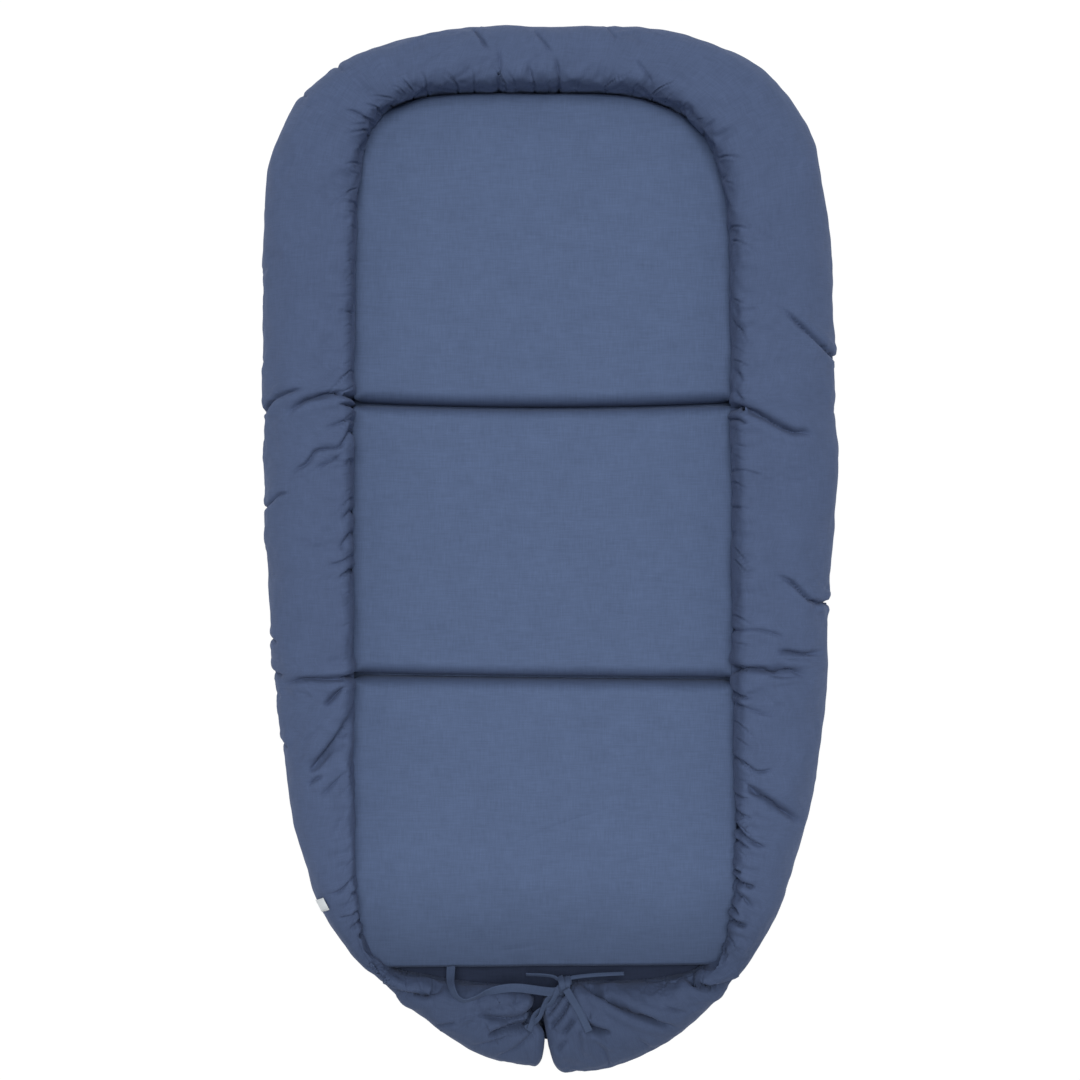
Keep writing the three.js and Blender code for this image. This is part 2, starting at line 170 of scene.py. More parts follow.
def closed_sheet(top, thickness):
    """Points and faces of a thin closed sheet, from the rows of points of its upper side."""
    under = top[:, ::-1].copy()
    under[..., 2] -= thickness
    grid = np.concatenate([under, top], 1)
    rows, columns = grid.shape[:2]
    faces = grid_faces(rows, columns).tolist()
    for row, turn in ((0, 1), (rows - 1, -1)):
        for k in range(columns // 2 - 1):
            strip = [k, k + 1, columns - 2 - k, columns - 1 - k][::-turn]
            faces.append([row * columns + corner for corner in strip])
    return grid.reshape(-1, 3), faces


def unit(vectors):
    return vectors / np.maximum(np.linalg.norm(vectors, axis=-1, keepdims=True), 1e-12)


def grid_normals(grid):
    """Normals of a tube of rings, pointing away from its inside."""
    along = np.gradient(grid, axis=0)
    around = np.roll(grid, -1, axis=1) - np.roll(grid, 1, axis=1)
    return unit(np.cross(around, along))


def eased(t):
    t = np.clip(t, 0, 1)
    return t * t * (3 - 2 * t)


waves = 28
wave_spread = (0.5, 1.5)
spline_steps = 24


def smooth_noise(points, size, seed):
    """A smooth value of about -1 to 1 that varies over a size, the same in each run."""
    rng = np.random.default_rng(seed)
    directions = unit(rng.normal(size=(waves, points.shape[-1])))
    steps = rng.uniform(*wave_spread, waves) / size
    phases = rng.uniform(0, math.tau, waves)
    angles = points @ (directions * steps[:, None]).T * math.tau + phases
    return np.sin(angles).sum(-1) / math.sqrt(waves)


def spline(points, count):
    """Evenly spaced points on a smooth curve through given ones."""
    points = np.array(points, float)
    padded = np.vstack([2 * points[0] - points[1], points, 2 * points[-1] - points[-2]])
    t = np.linspace(0, 1, spline_steps, endpoint=False)[:, None]
    runs = []
    for a, b, c, d in zip(padded, padded[1:], padded[2:], padded[3:]):
        runs.append(0.5 * (2 * b + (c - a) * t + (2 * a - 5 * b + 4 * c - d) * t**2
                           + (3 * b - a - 3 * c + d) * t**3))
    return evenly(np.vstack(runs + [points[-1:]]), count)


def steps_of(points):
    return np.linalg.norm(np.diff(points, axis=0), axis=1)


def reach_along(points):
    """How far along a line of points each of them lies."""
    return np.concatenate([[0], np.cumsum(steps_of(points))])


def reach_around(grid):
    """How far round its ring each point of a tube of rings lies."""
    steps = np.linalg.norm(np.diff(grid, axis=1), axis=2)
    return np.concatenate([np.zeros((len(grid), 1)), steps.cumsum(1)], 1)


def evenly(points, count):
    """A line of points, spaced anew at even steps."""
    reach = reach_along(points)
    at = np.linspace(0, reach[-1], count)
    return np.stack([np.interp(at, reach, column) for column in points.T], -1)


# Outline of the roll: its seam beside the pad and its outer edge, close to the solids', with
# the pad lying a little to the left between the rolls.
head_arch_start = 67 * mm
widest_below_head_fold = 62 * mm
seam_gap = -0.6 * mm
pad_shift = -4.4 * mm
tail_height = 48 * mm
left_tail_shortfall = 7 * mm
foot_tapers = {-1: (19 * mm, 2.84), 1: (13 * mm, 1.7)}
foot_taper_length = 85 * mm
arch_y = head_fold_y + head_arch_start
widest_y = head_fold_y - widest_below_head_fold

# Powers of the rounded outlines, on the left and the right: 2 is an ellipse, and more is squarer.
pad_arch_powers = {-1: 5.6, 1: 3.8}
roll_arch_powers = {-1: (2.75, 4.1), 1: (3.15, 3.3)}
taper_across_power = 2.2
taper_along_power = 2.6


def signed_power(value, power):
    return np.sign(value) * np.abs(value) ** power


def rounded_point(centre_y, half_x, half_y, across_power, along_power, angle):
    across = signed_power(math.cos(angle), 2 / across_power)
    along = signed_power(math.sin(angle), 2 / along_power)
    return np.array([half_x * across, centre_y + half_y * along])


def pad_half_width_at(y, side):
    into_taper = np.clip(1 - (y - pad_foot_y) / foot_taper_length, 0, 1)
    taper, power = foot_tapers[side]
    return pad_half_width - taper * into_taper**power


# How far the pad's left and right edge lie outside its solid's: (along, left, right) in mm.
pad_moves = np.array([
    (-450, 0, 3.8), (-300, 0.5, 3.8), (-240, 1.5, 3.6), (-180, 2.6, 2.6), (-110, 3.4, 1.6),
    (-50, 3.6, 0.8), (100, 3.4, 0.6), (190, 3, 0), (260, 1.5, 0), (330, 0, 0),
]) * mm
pad_move_ease = 120 * mm


def widened(across, along):
    """Places across, moved out where the pad is a little wider than its solid."""
    left, right = (np.interp(along, pad_moves[:, 0], pad_moves[:, k]) for k in (1, 2))
    return across - left * eased(-across / pad_move_ease) + right * eased(across / pad_move_ease)


def outline_below(turn_share, shortfall):
    """A point of the right outline below its widest place, at a share of a quarter turn."""
    fall = widest_y - foot_end_y - shortfall
    powers = taper_across_power, taper_along_power
    return rounded_point(widest_y, roll_half_width, fall, *powers, -turn_share * math.pi / 2)


def outline_at(y, shortfall):
    down_share = max(0, widest_y - y) / (widest_y - foot_end_y - shortfall)
    angle = math.asin(min(1, down_share ** (taper_along_power / 2)))
    return outline_below(angle / (math.pi / 2), shortfall)


# Places of the tails' ribs: beside the pad, how far down the foot panel and how high; below the
# pad, how far across, how far down, where on the outline and how high; and at the tips, how far
# down, where on the outline and how high. Where left and right differ, left is -1 and right is 1.
beside_pad_shares = [(0.37, 0.94), (0.53, 0.87), (0.71, 0.76), (0.83, 0.67), (0.93, 0.6)]
below_pad_shares = {
    -1: [
        (0.82, 0.03, 0.623, 0.85), (0.68, 0.07, 0.684, 0.92), (0.51, 0.13, 0.75, 1),
        (0.36, 0.17, 0.812, 1), (0.23, 0.18, 0.866, 0.98), (0.12, 0.24, 0.92, 0.92),
    ],
    1: [
        (0.79, 0.05, 0.623, 1.03), (0.66, 0.1, 0.684, 1), (0.51, 0.14, 0.75, 1),
        (0.36, 0.15, 0.812, 1), (0.23, 0.14, 0.866, 0.98), (0.12, 0.15, 0.92, 0.92),
    ],
}
lean_share = 0.2
side_roll_width = roll_half_width - pad_half_width
tip_shares = {-1: (0.36, 0.965, 0.8), 1: (0.33, 0.995, 0.8)}
tip_inner_x = {-1: -4.5 * mm, 1: -8.5 * mm}
tail_drops = {-1: 9 * mm, 1: 7 * mm}

# How far the left and the right edge lie outside the even outline: (along, left, right) in mm.
edge_moves = np.array([
    (-450, -14, -2), (-425, -14, -1), (-390, -11.5, 3), (-357, 5, 9), (-323, 10.6, 8),
    (-289, 8.7, 5), (-260, 4, 4), (-210, 0, 2), (-150, -4, -1), (-80, -6.5, -3), (-48, -5.5, -8),
    (-10, -4.5, -6), (60, -3, 0), (125, -2, -3), (160, -2, -7), (195, -2, -4), (300, -1, -7),
    (360, 1, -3), (450, 0, 0),
]) * mm
below_pad_ease = 60 * mm
side_ribs = 6
arch_ribs = 18


def rib(inner, outer, height):
    """Where the roll is cut across: its seam point, its outer point and its height."""
    return np.array([*inner, *outer, height])


def half_ribs(side):
    """Ribs of the right (+1) or left (-1) half of the roll, from its tail's tip to the head."""
    shortfall = left_tail_shortfall if side < 0 else 0
    down_share, turn_share, height_share = tip_shares[side]
    tip = (tip_inner_x[side], pad_foot_y - down_share * tail_reach)
    ribs = [rib(tip, outline_below(turn_share, shortfall), tail_height * height_share)]
    for across_share, down_share, turn_share, height_share in reversed(below_pad_shares[side]):
        inner = (across_share * pad_half_width, pad_foot_y - down_share * tail_reach)
        ribs.append(rib(inner, outline_below(turn_share, shortfall), tail_height * height_share))
    for down_share, height_share in reversed(beside_pad_shares):
        y = foot_fold_y - down_share * foot_panel_length
        inner = (pad_half_width_at(y, side) + seam_gap, y)
        outer = outline_at(y - down_share * lean_share * side_roll_width, shortfall)
        ribs.append(rib(inner, outer, roll_top_z * height_share))
    seam_x = pad_half_width + seam_gap
    for y in np.linspace(foot_fold_y, arch_y, side_ribs):
        ribs.append(rib((seam_x, y), (outline_at(y, 0)[0], y), roll_top_z))
    seam_rise = pad_head_y - arch_y + seam_gap
    pad_power = pad_arch_powers[side]
    roll_round = (roll_half_width, head_end_y - arch_y, *roll_arch_powers[side])
    for angle in np.linspace(0, math.pi / 2, arch_ribs + 1)[1:]:
        inner = rounded_point(arch_y, seam_x, seam_rise, pad_power, pad_power, angle)
        outer = rounded_point(arch_y, *roll_round, angle)
        height = roll_top_z + (head_roll_top_z - roll_top_z) * math.sin(angle) ** 2
        ribs.append(rib(inner, outer, height))
    ribs = np.array(ribs)
    moves = edge_moves[:, 1 if side < 0 else 2]
    ribs[:, 2] += np.interp(ribs[:, 3], edge_moves[:, 0], moves)
    ribs[:, 3] -= tail_drops[side] * eased((pad_foot_y - ribs[:, 3]) / below_pad_ease)
    ribs[:, [0, 2]] *= side
    ribs[:, 0] = widened(ribs[:, 0], ribs[:, 1])
    ribs[:, 0] += pad_shift * eased((ribs[:, 1] - pad_foot_y) / below_pad_ease + 1)
    return ribs


def smoothed(values, width):
    """Rows of values, each averaged with its neighbours, with the ends held."""
    reach = np.arange(-3 * width, 3 * width + 1)
    weights = np.exp(-0.5 * (reach / width) ** 2)
    weights /= weights.sum()
    held = np.pad(values, ((3 * width, 3 * width), (0, 0)), mode="edge")
    return np.stack([np.convolve(column, weights, "valid") for column in held.T], -1)


sim_spacing = 4.5 * mm
rib_smoothing = 10 * mm


def roll_ribs():
    """Evenly spaced ribs from the right tail's tip round the head to the left tail's tip."""
    keys = np.vstack([half_ribs(1), half_ribs(-1)[::-1][1:]])
    reach = reach_along((keys[:, 0:2] + keys[:, 2:4]) / 2)
    at = np.linspace(0, reach[-1], int(reach[-1] / sim_spacing))
    dense = np.stack([np.interp(at, reach, column) for column in keys.T], -1)
    return smoothed(dense, int(rib_smoothing / sim_spacing))


# Sections of the roll, in shares of its width and height, from the seam at the pad up over the
# top to the outer edge, and back along the floor: beside the pad on the left, there at the foot
# panel, and on the right; then at the pad's head and below the pad.
side_shares = [
    (0.36, 1), (0.55, 0.975), (0.72, 0.9), (0.86, 0.77), (0.95, 0.62), (1, 0.4), (0.975, 0.2),
    (0.9, 0.06), (0.78, 0), (0.3, 0),
]
left_section = [
    (0, 0.4), (-0.02, 0.56), (-0.02, 0.74), (-0.012, 0.88), (0.015, 0.95), (0.055, 0.985),
    (0.13, 1), *side_shares, (0.1, 0.04), (0.02, 0.16), (0, 0.4),
]
left_foot_section = [
    (0, 0.64), (-0.02, 0.74), (-0.02, 0.84), (-0.015, 0.93), (0.01, 0.975), (0.05, 0.995),
    (0.13, 1), *side_shares, (0.1, 0.04), (0.02, 0.2), (0, 0.64),
]
right_section = [
    (0, 0.27), (-0.02, 0.48), (-0.02, 0.68), (-0.005, 0.82), (0.02, 0.91), (0.045, 0.96),
    (0.08, 0.99), (0.15, 1), *side_shares, (0.1, 0.03), (0.02, 0.12), (0, 0.27),
]
head_section = [
    (0, 0.3), (-0.005, 0.5), (-0.005, 0.68), (0.005, 0.82), (0.04, 0.91), (0.1, 0.96), (0.2, 0.99),
    (0.35, 1), (0.5, 0.985), (0.66, 0.94), (0.82, 0.84), (0.94, 0.66), (1, 0.42), (0.975, 0.2),
    (0.9, 0.06), (0.78, 0), (0.3, 0), (0.1, 0.04), (0.02, 0.14), (0, 0.3),
]
tail_section = [
    (0, 0.06), (0, 0.3), (0.015, 0.55), (0.06, 0.8), (0.14, 0.93), (0.26, 0.99), (0.42, 1),
    (0.6, 0.96), (0.76, 0.87), (0.9, 0.7), (0.97, 0.5), (1, 0.36), (0.975, 0.18), (0.9, 0.05),
    (0.78, 0), (0.3, 0), (0.1, 0.01), (0.02, 0.02), (0, 0.06),
]

sim_columns = 56
deflated = 5 * mm
across_ease = 120 * mm
foot_change_y, foot_change_ease = foot_fold_y - 15 * mm, 60 * mm
head_change_start, head_change_ease = 60 * mm, 110 * mm
tail_change_y, tail_change_ease = pad_foot_y + 22 * mm, 26 * mm


def beside_foot_share(y):
    """0 beside the head and the middle panel, and 1 beside the foot panel."""
    return eased((foot_change_y - y) / foot_change_ease)


def roll_sections(ribs):
    """Each rib's section, at even steps round it: they change from side to side and towards the
    head and the tails."""
    size = np.array([side_roll_width, roll_top_z])
    drawn = (left_section, left_foot_section, right_section, head_section, tail_section)
    left, left_foot, right, ahead, below = (
        spline(np.array(shares) * size, sim_columns + 1)[:-1] / size for shares in drawn)
    seam_x, seam_y = ribs[:, 0, None, None], ribs[:, 1, None, None]
    left = left + (left_foot - left) * beside_foot_share(seam_y)
    beside = left + (right - left) * eased(seam_x / across_ease + 0.5)
    at_head = eased((seam_y - arch_y - head_change_start) / head_change_ease)
    below_pad = eased((tail_change_y - seam_y) / tail_change_ease)
    return beside + (ahead - beside) * at_head + (below - beside) * below_pad


sewn_share = 0.12
resting_share = 0.15


def roll_grid(ribs, sections, inset):
    """Rings of the roll, one for each rib, moved in from the skin by the inset, but not where
    they are sewn to the pad or lie on the floor."""
    inner, outer, height = ribs[:, None, 0:2], ribs[:, None, 2:4], ribs[:, None, 4]
    width = np.linalg.norm(outer - inner, axis=-1)
    out = (outer - inner) / width[..., None]
    size = np.stack([width, height], -1)
    flat = sections * size
    edge = np.roll(flat, -1, axis=1) - np.roll(flat, 1, axis=1)
    normal = unit(np.stack([-edge[..., 1], edge[..., 0]], -1))
    free = eased(steps_from_seam(sim_columns) / sewn_share)
    free = free * eased(sections[..., 1] / resting_share)
    flat = flat - normal * (inset * free)[..., None]
    return np.concatenate([inner + out * flat[..., :1], flat[..., 1:]], -1)


def steps_from_seam(columns):
    """How far round the loop each column lies from the seam, from 0 to a half."""
    step = np.arange(columns)
    return np.minimum(step, columns - step) / columns


# Cloth simulation.
weight_levels = 20
sim_frames = 20
sim_pressure = 2.4
gather_slack = 0.12
sim_cap = 11 * mm


def vertex_group(piece, name, weights):
    group = piece.vertex_groups.new(name=name)
    levels = np.round(np.clip(weights, 0, 1) * weight_levels).astype(int)
    for level in range(1, weight_levels + 1):
        group.add(np.nonzero(levels == level)[0].tolist(), level / weight_levels, "REPLACE")
    return group.name


def inflated(points, faces, held, slack):
    """The points of a closed cloth after it is blown up. held are the weights of its sewn and
    resting points, and slack says where it has the most spare cloth."""
    piece = add_piece("cloth_at_work", points, faces)
    cloth = piece.modifiers.new("cloth", "CLOTH")
    settings = cloth.settings
    for name, value in (
        ("quality", 6), ("mass", 0.25), ("tension_stiffness", 12), ("compression_stiffness", 12),
        ("shear_stiffness", 4), ("bending_stiffness", 0.05), ("use_pressure", True),
        ("uniform_pressure_force", sim_pressure), ("pin_stiffness", 1),
        ("vertex_group_mass", vertex_group(piece, "held", held)),
        ("vertex_group_shrink", vertex_group(piece, "slack", slack)),
        ("shrink_min", -0.01), ("shrink_max", -gather_slack),
    ):
        setattr(settings, name, value)
    settings.effector_weights.gravity = 0
    cloth.collision_settings.use_collision = False
    cloth.point_cache.frame_start = 1
    cloth.point_cache.frame_end = sim_frames
    scene = bpy.context.scene
    for step in range(1, sim_frames + 1):
        scene.frame_set(step)
    settled = piece.evaluated_get(bpy.context.evaluated_depsgraph_get()).data
    after = np.empty(len(points) * 3, np.float32)
    settled.vertices.foreach_get("co", after)
    mesh = piece.data
    bpy.data.objects.remove(piece)
    bpy.data.meshes.remove(mesh)
    scene.frame_set(1)
    move = after.reshape(-1, 3) - points
    length = np.linalg.norm(move, axis=1, keepdims=True)
    return points + move * np.minimum(1, sim_cap / np.maximum(length, 1e-9))


floor_shares = (0.25, 0.82)
lowest_share = 0.02
slack_reach_share = 0.3
least_slack_share = 0.25


def inflate_roll(grid, sections):
    """The roll's rings blown up, held at the seam and where they rest on the floor."""
    rows, columns = grid.shape[:2]
    u, z = sections[..., 0], sections[..., 1]
    from_seam = steps_from_seam(columns)
    resting = (z < lowest_share) & (u > floor_shares[0]) & (u < floor_shares[1])
    held = np.where(resting | (from_seam == 0), 1.0, 0.0)
    held[:2] = held[-2:] = 1
    near_seam = np.clip(1 - from_seam / slack_reach_share, 0, 1)
    slack = near_seam * (1 - least_slack_share) + least_slack_share
    slack = np.broadcast_to(slack, (rows, columns))
    after = inflated(grid.reshape(-1, 3), grid_faces(rows, columns), held.ravel(), slack.ravel())
    return after.reshape(rows, columns, 3)


fitting_length = 30 * mm


def fitted(grid, drawn):
    """The blown-up rings brought back to the drawn ones. This goes by averages over a stretch of
    the roll, so the cloth keeps its own folds and unevenness."""
    off = grid - drawn
    flat = off.reshape(len(off), -1)
    return drawn + (flat - smoothed(flat, int(fitting_length / sim_spacing))).reshape(off.shape)


flank_overlap = 4 * mm
flank_ease = 16 * mm


def beside_the_pad(grid, ribs):
    """Keeps the roll's inner flank off the pad: below the pad's edge it stays behind the seam."""
    inner, outer = ribs[:, None, 0:2], ribs[:, None, 2:4]
    out = unit(outer - inner)
    reach = ((grid[..., :2] - inner) * out).sum(-1)
    allowed = -flank_overlap * eased((grid[..., 2] - side_rim_z[1]) / flank_ease)
    push = np.maximum(0, allowed - reach)
    moved = grid.copy()
    moved[..., :2] += out * push[..., None]
    return moved


def with_rows_between(grid):
    """A tube of rings with a new ring between each two, on smooth curves."""
    before = np.concatenate([grid[:1], grid[:-2]])
    after = np.concatenate([grid[2:], grid[-1:]])
    finer = np.empty((2 * len(grid) - 1, *grid.shape[1:]))
    finer[::2] = grid
    finer[1::2] = (9 * (grid[:-1] + grid[1:]) - before - after) / 16
    return finer


def with_columns_between(grid):
    """A tube of closed rings with a new point between each two of a ring, on smooth curves."""
    shifted = [np.roll(grid, -k, axis=1) for k in (-1, 0, 1, 2)]
    finer = np.empty((len(grid), 2 * grid.shape[1], 3))
    finer[:, ::2] = grid
    finer[:, 1::2] = (9 * (shifted[1] + shifted[2]) - shifted[0] - shifted[3]) / 16
    return finer


upper_share = 0.66


def refined(grid):
    """Closer rings, with closer points on their upper side only."""
    grid = with_rows_between(with_rows_between(with_columns_between(grid)))
    column = np.arange(grid.shape[1])
    return grid[:, (column < upper_share * grid.shape[1]) | (column % 4 == 0)]


# The filling's unevenness: (size, height, seed).
uneven_sizes = ((60 * mm, 0.8 * mm, 21), (17 * mm, 0.25 * mm, 22))
seam_ease = 25 * mm
floor_ease = 20 * mm


def noise_of(points, sizes):
    return sum(height * smooth_noise(points, size, seed) for size, height, seed in sizes)


def made_uneven(grid):
    """The roll's skin with the soft unevenness of its filling, none at the seam or the floor."""
    height = noise_of(grid.reshape(-1, 3), uneven_sizes).reshape(grid.shape[:2])
    height *= eased(reach_around(grid) / seam_ease) * eased(grid[..., 2] / floor_ease)
    return grid + grid_normals(grid) * height[..., None]


tip_length = 9 * mm
tip_size_share = 0.55


def with_round_tips(grid):
    """The tube of rings with its two ends rounded off."""
    middles = grid.mean(1)
    reach = reach_along(middles)
    share = np.clip(np.minimum(reach, reach[-1] - reach) / tip_length, 0, 1)
    scale = tip_size_share + (1 - tip_size_share) * np.sqrt(1 - (1 - share) ** 2)
    return middles[:, None] + (grid - middles[:, None]) * scale[:, None, None]


hollow_place = at_pixels([(551, 1016)], tail_seen_z)[0]
hollow_reach = (17 * mm, 10 * mm)
hollow_depth = 15 * mm


def with_hollow_tip(grid):
    """The middle of the left tail's end drawn in below its rolled lip."""
    grid = grid.copy()
    left = grid[len(grid) // 2:]
    away = (left[..., :2] - hollow_place) / hollow_reach
    left[..., 0] -= hollow_depth * np.exp(-(away**2).sum(-1))
    return grid


# Creases: each is a line drawn on the roll as the camera sees it, in the photograph's pixels,
# with its depth and half width in mm, how far its far side stands up, and whether it fades out
# at its start and its end. One of a depth below 0 is a fold that stands up.
crease_points = 40


def crease(z, points, depth, width, lift=0, fade=(1, 1)):
    line = spline(at_pixels(points, z), crease_points)
    return line, depth * mm, width * mm, lift * mm, fade


def creases_at(z, rows):
    return [crease(z, *row) for row in rows]


head_creases = [
    ([(474, 28), (482, 41), (489, 54)], 4.5, 3.5, 1.5, (0, 1)),
    ([(499, 43), (500, 66), (497, 92)], 3, 6, 0.6, (1, 0)),
    ([(536, 32), (544, 44), (552, 57)], 3, 4, 0.8, (0, 1)),
    ([(554, 57), (558, 72), (560, 90)], 3, 4, 0.6, (1, 0)),
    ([(607, 24), (612, 33), (618, 42)], 2.5, 4, 0.5, (0, 1)),
    ([(634, 58), (641, 69), (650, 82)], 2.5, 4, 0.5, (1, 0)),
    ([(334, 59), (338, 66), (345, 73)], 2.5, 4, 0.5, (0, 1)),
    ([(296, 85), (301, 91), (308, 97)], 2, 4, 0.2, (1, 1)),
    ([(344, 113), (356, 114), (370, 121), (376, 122)], 2.5, 3, 0.8),
    ([(346, 124), (356, 126), (370, 124)], 1.5, 2.5),
]
right_creases = [
    ([(775, 306), (788, 316), (800, 326), (813, 336), (833, 351), (850, 358)], 7, 4, 3, (1, 0)),
    ([(727, 405), (741, 408), (754, 413), (775, 424), (792, 432), (807, 433),
      (819, 443)], 11, 5.5, 2, (0, 1)),
    ([(733, 389), (741, 404)], 4, 3.5),
    ([(733, 366), (738, 375), (742, 386)], 2.5, 3),
    ([(731, 418), (738, 420), (747, 426)], 5, 3, 1, (0, 1)),
    ([(731, 470), (745, 471), (766, 478)], 1.6, 3.5, 1, (0, 1)),
    ([(731, 506), (752, 509)], 1.5, 3, 1, (0, 1)),
    ([(770, 575), (780, 577), (792, 583), (806, 596), (816, 602), (832, 603),
      (850, 604)], 7.5, 4, 3, (1, 0)),
    ([(731, 631), (752, 629), (770, 632), (791, 641)], 3, 4, 1, (0, 1)),
    ([(771, 652), (785, 651), (800, 653), (826, 653)], 8, 4.5, 2),
    ([(776, 657), (800, 659), (822, 660)], 2.5, 3),
    ([(720, 678), (730, 673), (741, 668), (766, 669), (786, 670), (797, 672),
      (812, 681)], 11, 5.5, 2, (0, 1)),
    ([(764, 673), (782, 676), (800, 676)], 3.5, 3),
    ([(728, 688), (738, 695), (752, 698)], 4, 3, 1),
    ([(734, 703), (750, 709), (781, 717)], 2.5, 4, 0.5, (0, 1)),
    ([(734, 757), (746, 764), (758, 771), (776, 767)], 4, 3, 1, (0, 1)),
    ([(736, 777), (752, 789), (770, 801), (788, 813), (808, 829)], 11, 6.5, 3, (1, 1)),
    ([(733, 795), (750, 799)], 2.5, 3, 0.5, (0, 1)),
    ([(737, 812), (745, 816), (753, 819)], 3, 3, 1, (0, 1)),
    ([(735, 824), (744, 836), (756, 844), (769, 849)], 6, 3.5, 1.5, (0, 1)),
    ([(732, 840), (742, 845), (751, 850)], 5, 3.5, 1, (0, 1)),
    ([(733, 868), (738, 873), (743, 873)], 5, 3.2, 1, (0, 1)),
    ([(731, 878), (741, 884), (757, 890)], 9, 4, 2, (0, 1)),
    ([(738, 893), (746, 901), (755, 912)], 3, 5, 0.5, (1, 1)),
    ([(728, 905), (735, 911), (741, 920)], 5, 3, 1, (0, 1)),
    ([(727, 919), (737, 925), (750, 929)], 9, 4, 2, (0, 1)),
    ([(724, 960), (733, 952), (743, 947)], -3, 5, 0, (1, 1)),
]
left_creases = [
    ([(260, 410), (268, 402), (275, 397), (295, 391), (310, 389)], 6, 4, 1.5, (0, 1)),
    ([(282, 417), (292, 410), (304, 402), (321, 397), (338, 394), (359, 398)], 9, 5, 2, (1, 0)),
    ([(340, 403), (348, 405), (360, 406)], 8, 3.5, 0, (1, 0)),
    ([(324, 429), (340, 424), (356, 417)], 3, 3),
    ([(354, 423), (349, 436), (341, 447), (328, 449), (317, 452), (308, 464), (298, 470),
      (287, 481)], 5, 3.5, 1.5, (0, 1)),
    ([(346, 452), (338, 458), (328, 463), (316, 470)], 4, 3, 1),
    ([(352, 458), (348, 466)], 4, 3),
    ([(258, 508), (268, 502), (279, 494), (293, 493)], 4, 3.5, 1.5, (0, 1)),
    ([(356, 500), (350, 512), (342, 522)], 3.5, 3),
    ([(356, 525), (349, 537), (339, 552)], 4, 3.5),
    ([(356, 551), (345, 561), (328, 566)], 3, 2.5),
    ([(356, 565), (348, 572), (340, 579)], 4, 3),
    ([(278, 686), (288, 683), (300, 679), (330, 678), (357, 676)], 9, 5, 1.5, (1, 0)),
    ([(323, 708), (333, 697), (342, 689), (352, 686)], 8, 5, 1.5, (1, 1)),
    ([(303, 776), (318, 762), (333, 744), (344, 729), (352, 712)], 10, 6.5, 3, (1, 1)),
    ([(258, 634), (268, 640), (277, 645)], 4.5, 3.5, 1, (0, 1)),
    ([(262, 670), (273, 675), (284, 676)], 4.5, 3.5, 1, (0, 1)),
    ([(268, 740), (279, 745), (288, 752)], 4, 3.5, 1, (0, 1)),
    ([(305, 787), (314, 780), (326, 774)], 4, 4),
    ([(318, 800), (333, 784), (350, 769)], 3, 4),
    ([(325, 897), (338, 893), (348, 884), (355, 875)], 3.5, 3.2, 1),
    ([(334, 921), (347, 919), (360, 917)], 5, 4, 1),
    ([(350, 895), (359, 895)], 3, 2.5),
    ([(352, 915), (361, 913)], 3, 2.5),
    ([(348, 932), (356, 926), (361, 921)], 5, 3.5, 1),
    ([(357, 942), (361, 937), (365, 932)], 5, 3.5),
]
tail_creases = [
    # The left tail's rolled lip, what lies round it, and the folds that run to the drawstring.
    ([(452, 1004), (478, 1000), (504, 1000), (526, 1004)], -6, 12, 0, (1, 0)),
    ([(466, 1021), (479, 1015), (500, 1018), (520, 1015), (534, 1010)], 9, 4.5, 0, (1, 0)),
    ([(474, 1010), (500, 1007), (527, 1000)], 3, 3, 0.5),
    ([(498, 1021), (514, 1022), (532, 1020)], 8, 8, 0, (1, 0)),
    ([(438, 1027), (447, 1025), (457, 1022)], 4, 3, 1, (0, 1)),
    ([(456, 1027), (466, 1019), (478, 1016), (494, 1018)], -3, 3.5),
    ([(492, 1034), (498, 1031), (512, 1027), (527, 1025)], 14, 4.6, 2, (0, 0)),
    ([(466, 1050), (490, 1044), (510, 1036), (528, 1028)], 4, 5, 1, (1, 0)),
    ([(492, 1062), (514, 1051), (532, 1034)], 4, 5, 1, (1, 0)),
    ([(447, 985), (436, 991), (424, 995), (408, 996), (392, 994), (380, 990)], 12, 5.5, 2, (1, 0)),
    # The right tail's long fold, its casing and the short folds beside it.
    ([(570, 978), (584, 986), (604, 996), (629, 1010), (655, 1021), (684, 1032)], 14, 5, 3, (0, 1)),
    ([(650, 1019), (660, 1024), (672, 1026)], 4, 3, 1),
    ([(586, 1024), (596, 1029.5), (612, 1033)], 14, 4.6, 2, (0, 1)),
    ([(581, 1020), (585, 1040), (587, 1062)], -3.5, 6, 0, (1, 1)),
    ([(591, 1035), (603, 1042), (618, 1052)], -2.5, 3.5),
    ([(566, 992), (558, 1003), (549, 1014)], 8, 3, 1, (0, 0)),
    ([(569, 1003), (562, 1015), (552, 1027)], 8, 3, 1, (0, 0)),
    ([(577, 1016), (570, 1026), (561, 1038)], 7, 3, 1),
    ([(571, 1040), (562, 1046), (556, 1058)], 4, 4),
    ([(598, 1046), (606, 1056), (610, 1068)], 2.5, 4.5, 0, (1, 0)),
    ([(632, 1036), (645, 1046), (656, 1056)], 2, 5),
    ([(740, 984), (716, 988), (700, 986), (688, 979), (680, 970)], 12, 5.5, 3, (0, 0)),
    ([(660, 1004), (676, 1010), (690, 1014)], 2.5, 4, 0.5),
]


